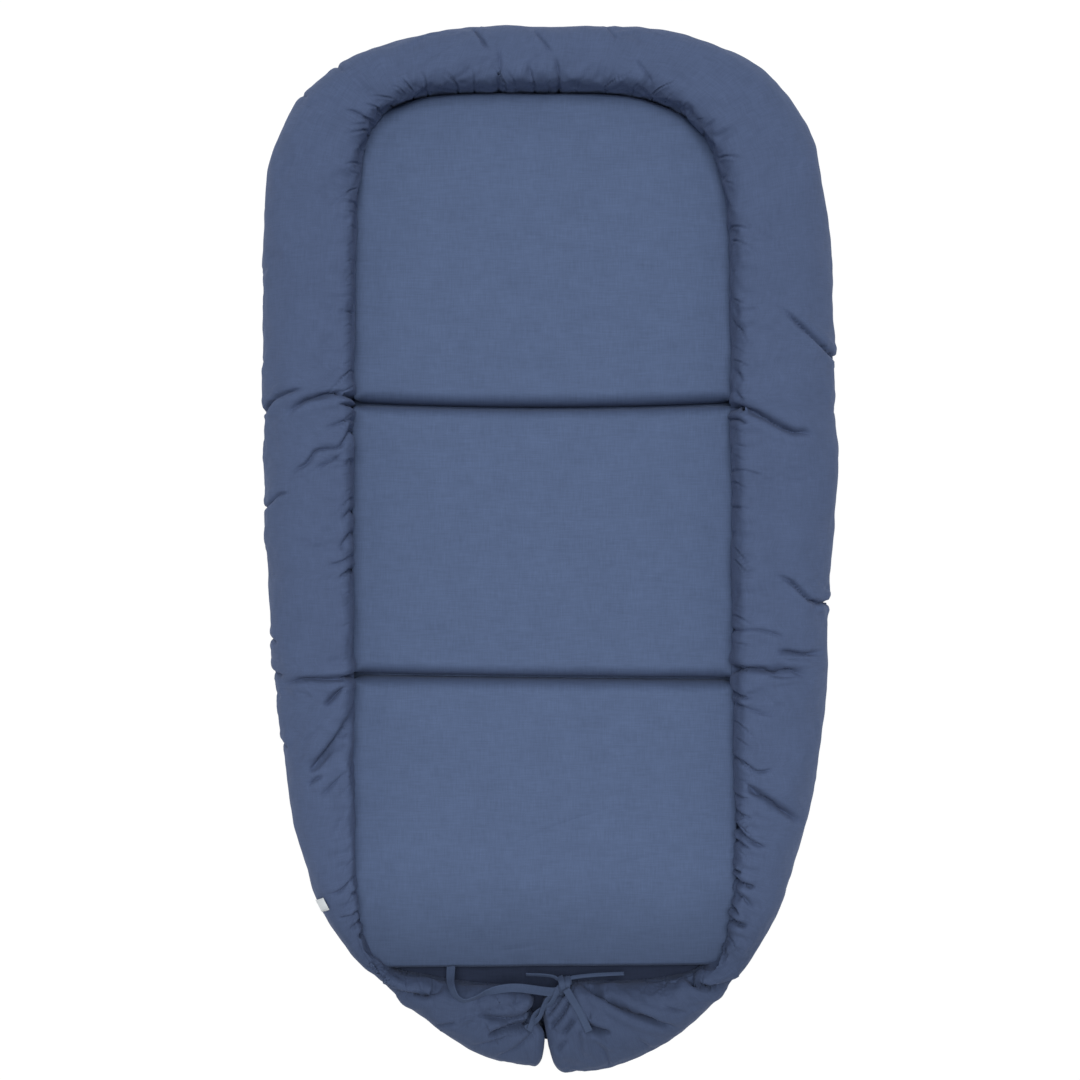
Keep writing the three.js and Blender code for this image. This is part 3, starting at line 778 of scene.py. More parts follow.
def to_line(points, line):
    """For each point in plan: its signed distance to a line of points, how far along the line
    it lies, from 0 to 1, and the direction across the line there."""
    starts, ends = line[:-1], line[1:]
    runs = ends - starts
    lengths = np.maximum((runs**2).sum(1), 1e-18)
    offset = points[:, None] - starts[None]
    t = np.clip((offset * runs).sum(-1) / lengths, 0, 1)
    gap = offset - t[..., None] * runs
    distance = np.linalg.norm(gap, axis=-1)
    nearest = distance.argmin(1)
    row = np.arange(len(points))
    across = unit(np.stack([-runs[:, 1], runs[:, 0]], -1))[nearest]
    away = gap[row, nearest]
    side = np.sign((away * across).sum(-1))
    return side * distance[row, nearest], (nearest + t[row, nearest]) / len(runs), across


def falling(t, end, power):
    """1 at the start, falling to 0 at an end."""
    return np.clip(1 - t / end, 0, 1) ** power


# A crease's profile across, in shares of its half width and depth.
groove_power = 1.6
shoulder_share, shoulder_place, shoulder_width = 0.16, 1.7, 0.7
lift_reach = 1.4
pinch_share, pinch_reach = 0.5, 2.2
fade_share = 0.35
crease_ease = 12 * mm
steepest_normal = -0.2


def press_creases(grid, creases, lowest_z):
    """Presses the creases into the rings' upper side, and draws the cloth in towards them."""
    points = grid.reshape(-1, 3).copy()
    normals = grid_normals(grid).reshape(-1, 3)
    for line, depth, width, rise, (fades_in, fades_out) in creases:
        low, high = line.min(0) - 4 * width, line.max(0) + 4 * width
        plan = points[:, :2]
        near = ((plan > low) & (plan < high)).all(1) & (points[:, 2] > lowest_z)
        index = np.nonzero(near & (normals[:, 2] > steepest_normal))[0]
        if not len(index):
            continue
        distance, along, across = to_line(plan[index], line)
        past_end = (along <= 0) | (along >= 1)
        strength = eased((points[index, 2] - lowest_z) / crease_ease)
        strength *= np.where(past_end, np.exp(-2 * (distance / width) ** 2), 1)
        if fades_in:
            strength *= eased(along / fade_share)
        if fades_out:
            strength *= eased((1 - along) / fade_share)
        t = np.abs(distance) / width
        groove = falling(t, 1, groove_power) if depth > 0 else falling(t**2, 1, 2)
        shoulder = shoulder_share * np.exp(-((t - shoulder_place) / shoulder_width) ** 2)
        lift = np.where(distance > 0, np.exp(-t / lift_reach), 0) * (1 - np.exp(-(t * 3) ** 2))
        move = normals[index] * (strength * (depth * (shoulder - groove) + rise * lift))[:, None]
        if depth > 0:
            pinch = -pinch_share * distance * falling(t, pinch_reach, 2) * strength
            move[:, :2] += across * pinch[:, None]
        floor_z = np.minimum(points[index, 2], lowest_z)
        points[index] += move
        points[index, 2] = np.maximum(points[index, 2], floor_z)
    return points.reshape(grid.shape)


# Small gathers where the roll's cloth is drawn along the seam. Small ones are more frequent than
# large ones. Each leans and bends, widens away from the seam, and has a raised edge.
gather_steps = {-1: (6 * mm, 18 * mm), 1: (9 * mm, 26 * mm)}
gather_lengths = (5 * mm, 17 * mm)
gather_depths = (0.7 * mm, 2.6 * mm)
gather_half_widths = (1.2 * mm, 2.4 * mm)
gather_margin = 9 * mm
gather_near_share = 0.6
gather_start = 2 * mm
gather_end = 1.15
gather_size_power = 1.6
gather_stretch = (0.8, 1.25)
gather_lean, gather_lean_spread = 0.8, 0.5
gather_bend_spread = 0.3
gather_seam_width, gather_widening = 0.6, 0.6
gather_edge_height, gather_edge_place, gather_edge_width = 0.3, 1.5, 0.6
tail_gather_share = 0.35
left_foot_gather_share = 0.35
gather_power = 1.4
bulge_depth = 0.9 * mm
bulge_share = 0.7
bulge_sizes = ((14 * mm, 8), (37 * mm, 9))
bulge_start, bulge_end, bulge_fade = 5 * mm, 26 * mm, 18 * mm


def gather_seam(grid, seed):
    """Short irregular pleats that run from the seam up the roll's inner flank and lean towards
    the foot end, with the cloth swelling out between them."""
    rows, columns = grid.shape[:2]
    normals = grid_normals(grid)
    seam = grid[:, 0]
    along = reach_along(seam)
    upper = slice(0, columns // 2)
    from_seam = grid[..., :2] - seam[:, None, :2]
    out = unit(from_seam.mean(1, keepdims=True))
    reach = (from_seam * out).sum(-1)[:, upper]
    height = np.zeros((rows, columns))
    swell = sum(bulge_share * smooth_noise(along[:, None] / size, 1, k)
                for size, k in bulge_sizes)
    height[:, upper] += (bulge_depth * swell)[:, None] * (
        eased(reach / bulge_start) * eased((bulge_end - reach) / bulge_fade))
    rng = np.random.default_rng(seed)
    place = 0.0
    while place < along[-1]:
        side = 1 if np.interp(place, along, seam[:, 0]) > 0 else -1
        place += rng.uniform(*gather_steps[side])
        size = rng.uniform(0, 1) ** gather_size_power
        length = np.interp(size, (0, 1), gather_lengths) * rng.uniform(*gather_stretch)
        depth = np.interp(size, (0, 1), gather_depths)
        y = np.interp(place, along, seam[:, 1])
        if y < pad_foot_y:
            depth *= tail_gather_share
        elif side < 0 and y < foot_fold_y:
            depth *= left_foot_gather_share
        half_width = rng.uniform(*gather_half_widths)
        lean = -side * gather_lean + rng.normal(0, gather_lean_spread)
        bend = rng.normal(0, gather_bend_spread)
        near = np.abs(along - place) < length * (gather_near_share + abs(lean)) + gather_margin
        up = reach[near]
        off = along[near][:, None] - place - lean * up - bend * up**2 / length
        t = np.abs(off) / (half_width * (gather_seam_width + gather_widening * up / length))
        edge = np.exp(-((t - gather_edge_place) / gather_edge_width) ** 2)
        cut = falling(t, 1, gather_power) - gather_edge_height * edge
        height[near, upper] -= (
            depth * cut * eased(gather_end - up / length) * eased(up / gather_start + 1))
    return grid + normals * height[..., None]


def add_skin(name, grid, normals, place, first, last):
    """A closed piece of the roll's skin from one ring to another, with an inner wall at its cut
    ends, where the next piece goes on."""
    rings = grid[first:last]
    ends = np.stack([rings[0].mean(0), rings[-1].mean(0)])
    inward = unit(np.stack([rings[2].mean(0) - ends[0], rings[-3].mean(0) - ends[1]]))
    points, faces = closed_tube(rings, *(ends + inward * cut_wall_depth))
    way_out = np.vstack([normals[first:last].reshape(-1, 3), -inward])
    spots = np.vstack([place[first:last].reshape(-1, 2), np.zeros((2, 2))])
    return add_piece(name, points, faces, way_out, spots)


cut_wall_depth = 3 * mm
lowest_skin_z = 0.3 * mm
roll_crease_floor = 16 * mm
cover_crease_floor = 20 * mm
gather_seed = 7


def make_roll():
    """The three pieces of the roll's skin, cut across the middle of the middle panel."""
    ribs = roll_ribs()
    sections = roll_sections(ribs)
    grid = inflate_roll(roll_grid(ribs, sections, deflated), sections)
    grid = fitted(grid, roll_grid(ribs, sections, 0))
    grid = refined(beside_the_pad(grid, ribs))
    grid[..., 2] = np.maximum(grid[..., 2], lowest_skin_z)
    grid = with_hollow_tip(with_round_tips(made_uneven(grid)))
    grid = gather_seam(grid, gather_seed)
    creases = creases_at(roll_seen_z, head_creases + right_creases + left_creases)
    creases += creases_at(tail_seen_z, tail_creases)
    grid = press_creases(grid, creases, roll_crease_floor)
    normals = grid_normals(grid)
    around = reach_around(grid)
    along = np.broadcast_to(reach_along(grid[:, 0])[:, None], around.shape)
    place = np.stack([along, around], -1)
    beside = np.nonzero(grid[..., 1].mean(1) > split_y)[0]
    first, last = beside[0], beside[-1]
    cuts = {
        "right_tail_skin": (0, first + 1), "head_roll_skin": (first, last + 1),
        "left_tail_skin": (last, len(grid)),
    }
    return {name: add_skin(name, grid, normals, place, *cut) for name, cut in cuts.items()}


# Pad covers.
cover_point_spacing = 2.6 * mm
crown_height = 6 * mm
side_round = {-1: 17 * mm, 1: 14 * mm}
fold_round = 13 * mm
end_round = 5 * mm
rim_power = 2.3
cover_floor = 1.7 * mm
rim_rings = 17
crown_rings = 70
side_rim_z = {-1: 34 * mm, 1: 33 * mm}
left_foot_rim_z = 40 * mm
head_rim_z = 10 * mm
fold_rim_z = 3 * mm
foot_rim_z = 9 * mm
foot_droop = 12 * mm
foot_droop_length = 85 * mm
foot_droop_power = 1.5
corner_radius = 7 * mm
foot_corner_radius = {-1: 4 * mm, 1: 11 * mm}
foot_rise = 2.5 * mm
fold_gap = 1.8 * mm
fold_bow_reach = 70 * mm
side_change_ease = 160 * mm
fold_bow = {"head": 4 * mm, "foot": 0.5 * mm}
fold_tilt = {"head": 0, "foot": -2 * mm}
fold_shift = {"head": 1 * mm, "foot": -2 * mm}


arc_points = 9
arch_points = 81
taper_points, first_taper_point = 14, 3


def corner_arc(before, corner, after, radius):
    """The arc that rounds one corner of an outline."""
    back, ahead = unit(before - corner), unit(after - corner)
    half_angle = math.acos(float(back @ ahead)) / 2
    centre = corner + unit(back + ahead) * radius / math.sin(half_angle)
    reach = radius / math.tan(half_angle)
    start, end = corner + back * reach - centre, corner + ahead * reach - centre
    sweep = math.atan2(start[0] * end[1] - start[1] * end[0], float(start @ end))
    turned = np.array([-start[1], start[0]])
    return [centre + start * math.cos(a) + turned * math.sin(a)
            for a in np.linspace(0, sweep, arc_points)]


def outline_of(corners):
    """A closed outline from corners, each with its radius, at even steps."""
    corners = [(np.array(spot, float), radius) for spot, radius in corners]
    points = []
    for i, (corner, radius) in enumerate(corners):
        if radius:
            after = corners[(i + 1) % len(corners)][0]
            points += corner_arc(corners[i - 1][0], corner, after, radius)
        else:
            points.append(corner)
    loop = np.array(points + points[:1])
    return evenly(loop, int(steps_of(loop).sum() / cover_point_spacing) + 1)[:-1]


def head_outline():
    low_y = head_fold_y + fold_gap / 2
    rise = pad_head_y - arch_y
    corners = [((side * pad_half_width, low_y), corner_radius) for side in (-1, 1)]
    for angle in np.linspace(0, math.pi, arch_points):
        power = pad_arch_powers[1 if angle < math.pi / 2 else -1]
        corners.append((rounded_point(arch_y, pad_half_width, rise, power, power, angle), 0))
    return outline_of(corners)


def middle_outline():
    low_y, high_y = foot_fold_y + fold_gap / 2, head_fold_y - fold_gap / 2
    half = pad_half_width
    spots = [(-half, low_y), (half, low_y), (half, high_y), (-half, high_y)]
    return outline_of([(spot, corner_radius) for spot in spots])


def foot_outline():
    high_y, taper_y = foot_fold_y - fold_gap / 2, pad_foot_y + foot_taper_length
    edges = {}
    for side in (-1, 1):
        corner = side * pad_half_width_at(pad_foot_y, side)
        rise = foot_rise if side > 0 else 0
        edges[side] = [((corner, pad_foot_y + rise), foot_corner_radius[side])]
        for y in np.linspace(pad_foot_y, taper_y, taper_points)[first_taper_point:]:
            edges[side].append(((side * pad_half_width_at(y, side), y), 0))
        edges[side].append(((side * pad_half_width, high_y), corner_radius))
    return outline_of(edges[1] + edges[-1][::-1])


def bow_folds(points):
    """Moves points near the folds so that the quilted lines bow and tilt as the real ones do."""
    share = points[:, 0] / pad_half_width
    for place, fold_y in (("head", head_fold_y), ("foot", foot_fold_y)):
        near = eased(1 - np.abs(points[:, 1] - fold_y) / fold_bow_reach)
        points[:, 1] += near * (
            fold_bow[place] * share**2 + fold_tilt[place] * share + fold_shift[place])


side_turn_start, side_turn_ease = 0.25, 0.6


def rim_heights(outline):
    """How high each point of an outline's rim is sewn: high beside the roll, low at the folds."""
    ahead = np.roll(outline, -1, axis=0) - np.roll(outline, 1, axis=0)
    out = unit(np.stack([ahead[:, 1], -ahead[:, 0]], -1))
    beside_roll = eased((np.abs(out[:, 0]) - side_turn_start) / side_turn_ease)
    at_foot = outline[:, 1] < pad_foot_y + foot_corner_radius[1]
    low = np.where(at_foot, foot_rim_z, fold_rim_z)
    low = np.where(outline[:, 1] > arch_y, head_rim_z, low)
    beside_foot = beside_foot_share(outline[:, 1])
    left_z = side_rim_z[-1] + (left_foot_rim_z - side_rim_z[-1]) * beside_foot
    side_z = np.where(outline[:, 0] > 0, side_rim_z[1], left_z)
    return low + (side_z - low) * beside_roll


def rim_rounds(outline, centre):
    """How far in from each point of an outline the cover is flat, across and along."""
    right = eased((outline[:, 0] - centre[0]) / side_change_ease + 0.5)
    across = side_round[-1] + (side_round[1] - side_round[-1]) * right
    y = outline[:, 1]
    from_fold = np.minimum(np.abs(y - head_fold_y), np.abs(y - foot_fold_y))
    along = fold_round + (end_round - fold_round) * eased(from_fold / side_change_ease)
    return np.stack([across, along], -1)


def cover_grid(outline):
    """Rings of a crowned cover, from the base cloth up its rim and in to its middle."""
    low, high = outline.min(0), outline.max(0)
    centre, half = (low + high) / 2, (high - low) / 2
    rim_z = rim_heights(outline)
    rounds = rim_rounds(outline, centre)
    heights = np.zeros(len(outline))
    rings = [(1, heights + cover_floor)]
    for share in 1 - np.cos(np.linspace(0, math.pi / 2, rim_rings)):
        rise = max(0, 1 - (1 - share) ** rim_power) ** (1 / rim_power)
        rings.append((1 - rounds * share / half, rim_z + (fold_z - rim_z) * rise))
    for left in np.linspace(1, 0, crown_rings)[1:-1]:
        z = fold_z + crown_height * (1 - left**2)
        rings.append(((1 - rounds / half) * left, heights + z))
    grid = np.array([np.column_stack([centre + (outline - centre) * scale, z])
                     for scale, z in rings])
    droop = np.clip(1 - (grid[..., 1] - pad_foot_y) / foot_droop_length, 0, 1)
    grid[..., 2] -= foot_droop * droop**foot_droop_power * eased(grid[..., 2] / fold_z)
    return grid


# The covers' unevenness, as the roll's, and their faint wrinkles, drawn as the creases are.
ripple_sizes = ((60 * mm, 0.25 * mm, 11), (18 * mm, 0.1 * mm, 5))
cover_creases = {
    "head": [
        ([(583, 133), (597, 129), (610, 134)], 0.7, 7),
    ],
    "middle": [],
    "foot": [
        ([(488, 862), (530, 838), (580, 818), (640, 800)], 0.7, 7, 0.2),
        ([(600, 870), (640, 858), (675, 852)], 0.6, 6, 0.2),
        ([(500, 952), (525, 949), (550, 945)], 0.8, 4, 0.2),
        ([(430, 812), (470, 800), (520, 784)], 0.5, 8),
    ],
}


def add_cover(place, outline):
    creases = creases_at(focus_z, cover_creases[place])
    grid = press_creases(cover_grid(outline), creases, cover_crease_floor)
    ripple = noise_of(grid.reshape(-1, 3), ripple_sizes).reshape(grid.shape[:2])
    grid = grid + grid_normals(grid) * (ripple * eased(grid[..., 2] / fold_z))[..., None]
    points = grid.reshape(-1, 3)
    bow_folds(points)
    points[:, 0] = widened(points[:, 0], points[:, 1]) + pad_shift
    points, faces = closed_tube(grid, grid[0].mean(0), grid[-1].mean(0))
    return add_piece(f"{place}_pad_cover", points, faces, place=points[:, :2])


# Base cloth: two sheets under the pad, joined across the middle panel. They reach a little
# under the roll, but not at the pad's foot corners.
base_top = 1.4 * mm
base_thickness = 1.2 * mm
base_reach = 11 * mm
base_foot_pull = 21 * mm
base_foot_length = 30 * mm
base_step = 5 * mm
base_columns = 31
tongue_reach = 70 * mm
tongue_half_width = 142 * mm
tongue_overlap = 6 * mm
tongue_end_half_width = 3 * mm
tongue_top = 3.6 * mm
tongue_thickness = 1.5 * mm
tongue_ripple = 1 * mm
tongue_ripple_size = 5 * mm
tongue_power = 0.8
tongue_rows, tongue_columns = 21, 41


def pad_edge_at(y, side):
    """Where the pad's edge lies across, at a place along it."""
    if y <= arch_y:
        return side * pad_half_width_at(y, side)
    power = pad_arch_powers[side]
    left = max(0, 1 - ((y - arch_y) / (pad_head_y + base_reach - arch_y)) ** power)
    return side * pad_half_width * left ** (1 / power)


def add_tongue():
    """The gathered end of the base cloth, below the pad and between the tails."""
    rows = []
    across = np.linspace(-1, 1, tongue_columns)
    for t in np.linspace(1, 0, tongue_rows):
        y = pad_foot_y + tongue_overlap - t * tongue_reach
        x = across * (tongue_half_width * (1 - t) ** tongue_power + tongue_end_half_width)
        z = tongue_top + tongue_ripple * np.sin(x / tongue_ripple_size) * t
        rows.append(np.column_stack([x, np.full_like(x, y), z]))
    points, faces = closed_sheet(np.array(rows), tongue_thickness)
    return add_piece("base_tongue", points, faces, place=points[:, :2])


def add_base(name, low_y, high_y):
    """A thin closed sheet under the pad, from one place along it to another, and its flat area."""
    rows = []
    across = np.linspace(0, 1, base_columns)
    for y in np.linspace(low_y, high_y, int((high_y - low_y) / base_step)):
        reach = base_reach - base_foot_pull * eased(1 - (y - pad_foot_y) / base_foot_length)
        left = pad_edge_at(y, -1) - reach
        right = pad_edge_at(y, 1) + reach
        x = pad_shift + widened(left + (right - left) * across, y)
        rows.append(np.column_stack([x, np.full_like(x, y), np.full_like(x, base_top)]))
    top = np.array(rows)
    points, faces = closed_sheet(top, base_thickness)
    bow_folds(points)
    area = float((top[:, -1, 0] - top[:, 0, 0]).mean() * (high_y - low_y))
    return add_piece(name, points, faces, place=points[:, :2]), area


# Tapes: each place is in the photograph's pixels, with its height in mm.
tape_thickness = 1.5 * mm
tie_width = 8 * mm
drawstring_width = 6.5 * mm
strand_width = 4.6 * mm
strand_offset = 2.2 * mm
strand_turns = 1.4
strand_flatness = 0.6
hem_width = 3.6 * mm
knot_width = 5.5 * mm
knot_thickness = 3 * mm
tie_route = [
    (559, 991, 31), (553, 992, 33), (543, 991, 36), (532, 989.5, 40), (520, 988, 44),
    (509, 988, 46), (498, 989.5, 47), (487, 992.5, 48), (475, 997.5, 48), (465, 1000.5, 48),
    (457, 997, 48), (452, 988, 44), (450.5, 978, 32), (451, 966, 22),
]
left_drawstring_route = [(562, 988, 32), (553, 997, 33), (544, 1007, 34), (536, 1017, 36),
                         (527, 1028, 38)]
right_drawstring_route = [(566, 988, 33), (572, 998, 37), (580, 1012, 42), (589, 1030, 43)]
left_hem_route = [(559, 980, 28), (553, 976.5, 27), (542, 975, 25.5), (526, 974.5, 24)]
right_hem_route = [(568, 979, 28), (576, 977, 27), (595, 975, 25.5), (624, 973.5, 24)]
knot_routes = [
    [(556.5, 992, 27), (560, 988, 33), (565, 985, 34), (571, 981, 27)],
    [(560, 977, 27), (561.5, 982, 36), (562.5, 988, 37), (561, 995, 27)],
    [(567, 977, 26), (567.5, 982, 34.5), (567, 988, 35), (568, 995, 26)],
]


def placed(route):
    route = np.array(route, float)
    z = route[:, 2:] * mm
    return np.hstack([at_pixels(route[:, :2], z), z])


def laid_on(line, skins, reach=4 * mm, clear=1.2 * mm):
    """The line lifted to lie on the skins wherever it would run inside them."""
    skin = np.vstack([np.array([v.co for v in piece.data.vertices]) for piece in skins])
    low, high = line[:, :2].min(0) - reach, line[:, :2].max(0) + reach
    near = (skin[:, :2] > low) & (skin[:, :2] < high)
    skin = skin[near.all(1)]
    gap = np.linalg.norm(line[:, None, :2] - skin[:, :2], axis=-1)
    under = np.where(gap < reach, skin[:, 2], -1).max(1)
    lifted = line.copy()
    lifted[:, 2] = smoothed(np.maximum(line[:, 2], under + clear)[:, None], 2)[:, 0]
    return lifted


def line_frame(line):
    """At each point of a line: the way ahead, level across it, and up from it."""
    ahead = unit(np.gradient(line, axis=0))
    level = unit(np.cross(ahead, (0, 0, 1)))
    return ahead, level, np.cross(level, ahead)


tape_roundness = 0.6
tape_sides = 20
tape_hollow, tape_hollow_place, tape_hollow_width = 0.35, 0.55, 0.2
tape_step = 1.5 * mm
measuring_points = 200


def tape_mesh(line, width, leans, thickness):
    """Points, faces and flat places of a tape of folded cloth along a line. leans are the angles
    in degrees at which its width leans over, spread evenly: 0 lies flat and 90 stands on edge."""
    reach = reach_along(line)
    ahead, level, up = line_frame(line)
    lean = np.interp(reach / reach[-1], np.linspace(0, 1, len(leans)), leans)
    lean = np.radians(lean)[:, None]
    across = level * np.cos(lean) + up * np.sin(lean)
    through = np.cross(across, ahead)
    turns = np.linspace(0, math.tau, tape_sides + 1)[:-1]
    side = signed_power(np.cos(turns), tape_roundness)
    face = signed_power(np.sin(turns), tape_roundness)
    from_hollow = (np.abs(side) - tape_hollow_place) / tape_hollow_width
    hollow = 1 - tape_hollow * np.exp(-from_hollow**2)
    grid = (line[:, None] + across[:, None] * side[:, None] * width / 2
            + through[:, None] * (face * hollow)[:, None] * thickness / 2)
    points, faces = closed_tube(grid, line[0], line[-1])
    faces = [face[::-1] for face in faces]
    flat = np.stack([np.repeat(reach, len(turns)), np.tile(side * width / 2, len(line))], -1)
    return points, faces, np.vstack([flat, np.zeros((2, 2))])


def add_tapes(name, lines, width, leans, thickness=tape_thickness):
    """One piece of one or more tapes."""
    points, faces, places = [], [], []
    for line in lines:
        new_points, new_faces, new_places = tape_mesh(line, width, leans, thickness)
        first = sum(map(len, points))
        faces += [[first + corner for corner in face] for face in new_faces]
        points.append(new_points)
        places.append(new_places)
    return add_piece(name, np.vstack(points), faces, place=np.vstack(places))


def tape_line(route):
    """The line of a tape whose route is given in pixels and mm."""
    route = placed(route)
    length = steps_of(spline(route, measuring_points)).sum()
    return spline(route, int(length / tape_step))


def twisted_pair(line, offset, turns):
    """Two lines that wind round one."""
    _, level, up = line_frame(line)
    angle = (np.linspace(0, 1, len(line)) * turns * math.tau)[:, None]
    out = offset * (level * np.cos(angle) + up * np.sin(angle) * strand_flatness)
    return [line + out, line - out]


label_place = (324, 902, 34)
label_length = 9 * mm
label_width = 11.5 * mm
label_slope = 0.9
label_turn = 28
label_curl = 1.4 * mm
label_rows = 13
label_reach = 2 * mm
label_clear = 0.5 * mm
# Round the label's edge: places across it, as shares of its width, and heights in mm.
label_section = np.array([
    (-0.5, 0.35), (0, 0.45), (0.5, 0.35), (0.5, -0.35), (0, -0.3), (-0.5, -0.35),
]) * (label_width, mm)


def add_tab():
    """The bare care tab: a folded satin loop that lies up against the left roll."""
    centre = placed([label_place])[0]
    turn = math.radians(label_turn)
    out = np.array([-math.cos(turn), -math.sin(turn), 0])
    side = np.array([out[1], -out[0], 0])
    rings = []
    for s in np.linspace(-0.5, 0.5, label_rows):
        middle = centre + out * label_length * s
        middle[2] += label_curl * math.sin(math.pi * (s + 0.5)) - label_slope * label_length * s
        rings.append([middle + side * w + (0, 0, z) for w, z in label_section])
    grid = np.array(rings)
    rows, columns = grid.shape[:2]
    points = grid.reshape(-1, 3)
    laid = laid_on(points, [roll["left_tail_skin"]], label_reach, label_clear)
    lift = laid[:, 2] - points[:, 2]
    grid[..., 2] += lift.reshape(rows, columns).max(1, keepdims=True)
    faces = [face[::-1] for face in grid_faces(rows, columns).tolist()]
    for row, turn_over in ((0, 1), (rows - 1, -1)):
        faces.append([row * columns + k for k in range(columns)][::turn_over])
    return add_piece("care_label", points, faces, place=points[:, :2])


# Materials.
def colour(red, green, blue):
    """Linear colour from one read off as it is shown, out of 255."""
    def linear(value):
        value /= 255
        return value / 12.92 if value <= 0.04045 else ((value + 0.055) / 1.055) ** 2.4
    return (linear(red), linear(green), linear(blue), 1)


class Nodes:
    """The nodes of a material or a world, added and joined in short calls."""

    def __init__(self, owner):
        owner.use_nodes = True
        self.owner = owner
        self.tree = owner.node_tree
        self.tree.nodes.clear()

    def add(self, kind, inputs=(), **settings):
        node = self.tree.nodes.new(kind)
        for key, value in settings.items():
            setattr(node, key, value)
        for key, value in dict(inputs).items():
            socket = node.inputs[key]
            if isinstance(value, bpy.types.NodeSocket):
                self.tree.links.new(value, socket)
            else:
                socket.default_value = value
        return node

    def math(self, operation, *values):
        return self.add("ShaderNodeMath", enumerate(values), operation=operation).outputs[0]

    def cloth_place(self):
        return self.add("ShaderNodeAttribute", attribute_name="cloth_place").outputs["Vector"]

    def seen_directly(self):
        """1 for what the camera sees straight, mirrored or through something, and else 0."""
        path = self.add("ShaderNodeLightPath").outputs
        seen = self.math("MAXIMUM", path["Is Camera Ray"], path["Is Glossy Ray"])
        return self.math("MAXIMUM", seen, path["Is Transmission Ray"])

    def finish(self, shader, output="ShaderNodeOutputMaterial"):
        self.add(output, {"Surface": shader.outputs[0]})
        return self.owner


def new_material(name):
    return Nodes(bpy.data.materials.new(name))


# The weave: a thread's width, the slubs' and the mottling's sizes, how much each shows, and the
# depth of the cloth's and the satin's relief.
thread = 0.45 * mm
slub_length = 14 * mm
slub_width = 0.9 * mm
mottle_size = 22 * mm
slub_share = 0.34
mottle_share = 0.16
thread_share = 0.05
cloth_relief = 0.15 * mm
satin_relief = 0.1 * mm


def cloth_material(name, tint):
    """Plain-woven cotton: fine crossed threads, slubs along both ways, soft mottling, and painted
    shade towards the foot end.
    """
    n = new_material(name)
    place = n.cloth_place()
    parts = n.add("ShaderNodeSeparateXYZ", {"Vector": place}).outputs
    warp, weft = (n.math("SINE", n.math("MULTIPLY", parts[axis], math.pi / thread))
                  for axis in ("X", "Y"))
    threads = n.math("MULTIPLY", warp, weft)

    def slubs(along, across, seed):
        scaled = n.add("ShaderNodeVectorMath", {0: place, 1: (1 / along, 1 / across, 1)},
                       operation="MULTIPLY").outputs[0]
        shifted = n.add("ShaderNodeVectorMath", {0: scaled, 1: (seed, seed, seed)},
                        operation="ADD").outputs[0]
        return n.add("ShaderNodeTexNoise", {"Vector": shifted, "Scale": 1, "Detail": 2,
                                            "Roughness": 0.6}).outputs[0]

    streaks = n.math("ADD", slubs(slub_length, slub_width, 3.7),
                     slubs(slub_width, slub_length, 9.1))
    mottle = slubs(mottle_size, mottle_size, 5.3)
    shade = n.math("ADD", n.math("MULTIPLY", n.math("SUBTRACT", streaks, 1.0), slub_share),
                   n.math("MULTIPLY", n.math("SUBTRACT", mottle, 0.5), mottle_share))
    shade = n.math("ADD", n.math("ADD", shade, n.math("MULTIPLY", threads, thread_share)), 1.0)
    # Painted shade: the colour is darkened towards the foot end.
    dim = n.add("ShaderNodeAttribute", attribute_name="painted_foot_shade").outputs["Fac"]
    shade = n.math("MULTIPLY", shade, n.math("SUBTRACT", 1.0, n.math("MULTIPLY", dim, painted_shade_share)))
    shaded = n.add("ShaderNodeVectorMath", {0: tint[:3], 3: shade}, operation="SCALE").outputs[0]
    height = n.math("ADD", n.math("MULTIPLY", threads, 0.5), n.math("MULTIPLY", streaks, 0.5))
    bump = n.add("ShaderNodeBump", {"Height": height, "Strength": 0.35, "Distance": cloth_relief})
    return n.finish(n.add("ShaderNodeBsdfPrincipled", {
        "Base Color": shaded, "Roughness": 0.85, "Specular IOR Level": 0.12,
        "Sheen Weight": 0.08, "Sheen Roughness": 0.5, "Sheen Tint": (0.6, 0.7, 1, 1),
        "Normal": bump.outputs[0],
    }))


def satin_material():
    """The white satin of the care tab, with its fine ribs."""
    n = new_material("white_satin")
    ribs = n.add("ShaderNodeTexNoise", {"Vector": n.cloth_place(), "Scale": 900, "Detail": 1})
    bump = n.add("ShaderNodeBump", {
        "Height": ribs.outputs[0], "Strength": 0.2, "Distance": satin_relief})
    return n.finish(n.add("ShaderNodeBsdfPrincipled", {
        "Base Color": colour(226, 231, 233), "Roughness": 0.45, "Normal": bump.outputs[0],
    }))


cotton = cloth_material("slate_cotton", colour(88, 104, 136))
# The roll's cloth is the pad's cotton painted a little darker: painted shade for its rounded, less
# lit sides.
shade_darkened_roll_cotton = cloth_material("slate_cotton_roll_shade_darkened", colour(81, 95, 126))
tape_cotton = cloth_material("tape_cotton", colour(82, 97, 127))
# The tongue's cloth is painted dark: painted shade for the hollow between the pad's foot and the
# tails.
shade_darkened_cotton = cloth_material("shade_darkened_cotton", colour(51, 60, 83))
satin = satin_material()


# Pieces.
roll = make_roll()
covers = {
    "head": add_cover("head", head_outline()),
    "middle": add_cover("middle", middle_outline()),
    "foot": add_cover("foot", foot_outline()),
}


def blend_over(piece):
    """Bakes the piece's placement into its mesh points."""
    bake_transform(piece)


blend_over(roll["head_roll_skin"])
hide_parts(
    "head_roll_sleeve", "head_roll_filling", "left_head_crease",
    "right_head_crease", "left_roll_sleeve", "left_roll_filling", "right_roll_sleeve",
    "right_roll_filling",
)
for side in ("left", "right"):
    tail = roll[f"{side}_tail_skin"]
    blend_over(tail)
    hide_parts(f"{side}_tail_sleeve", f"{side}_tail_filling", f"{side}_foot_crease")
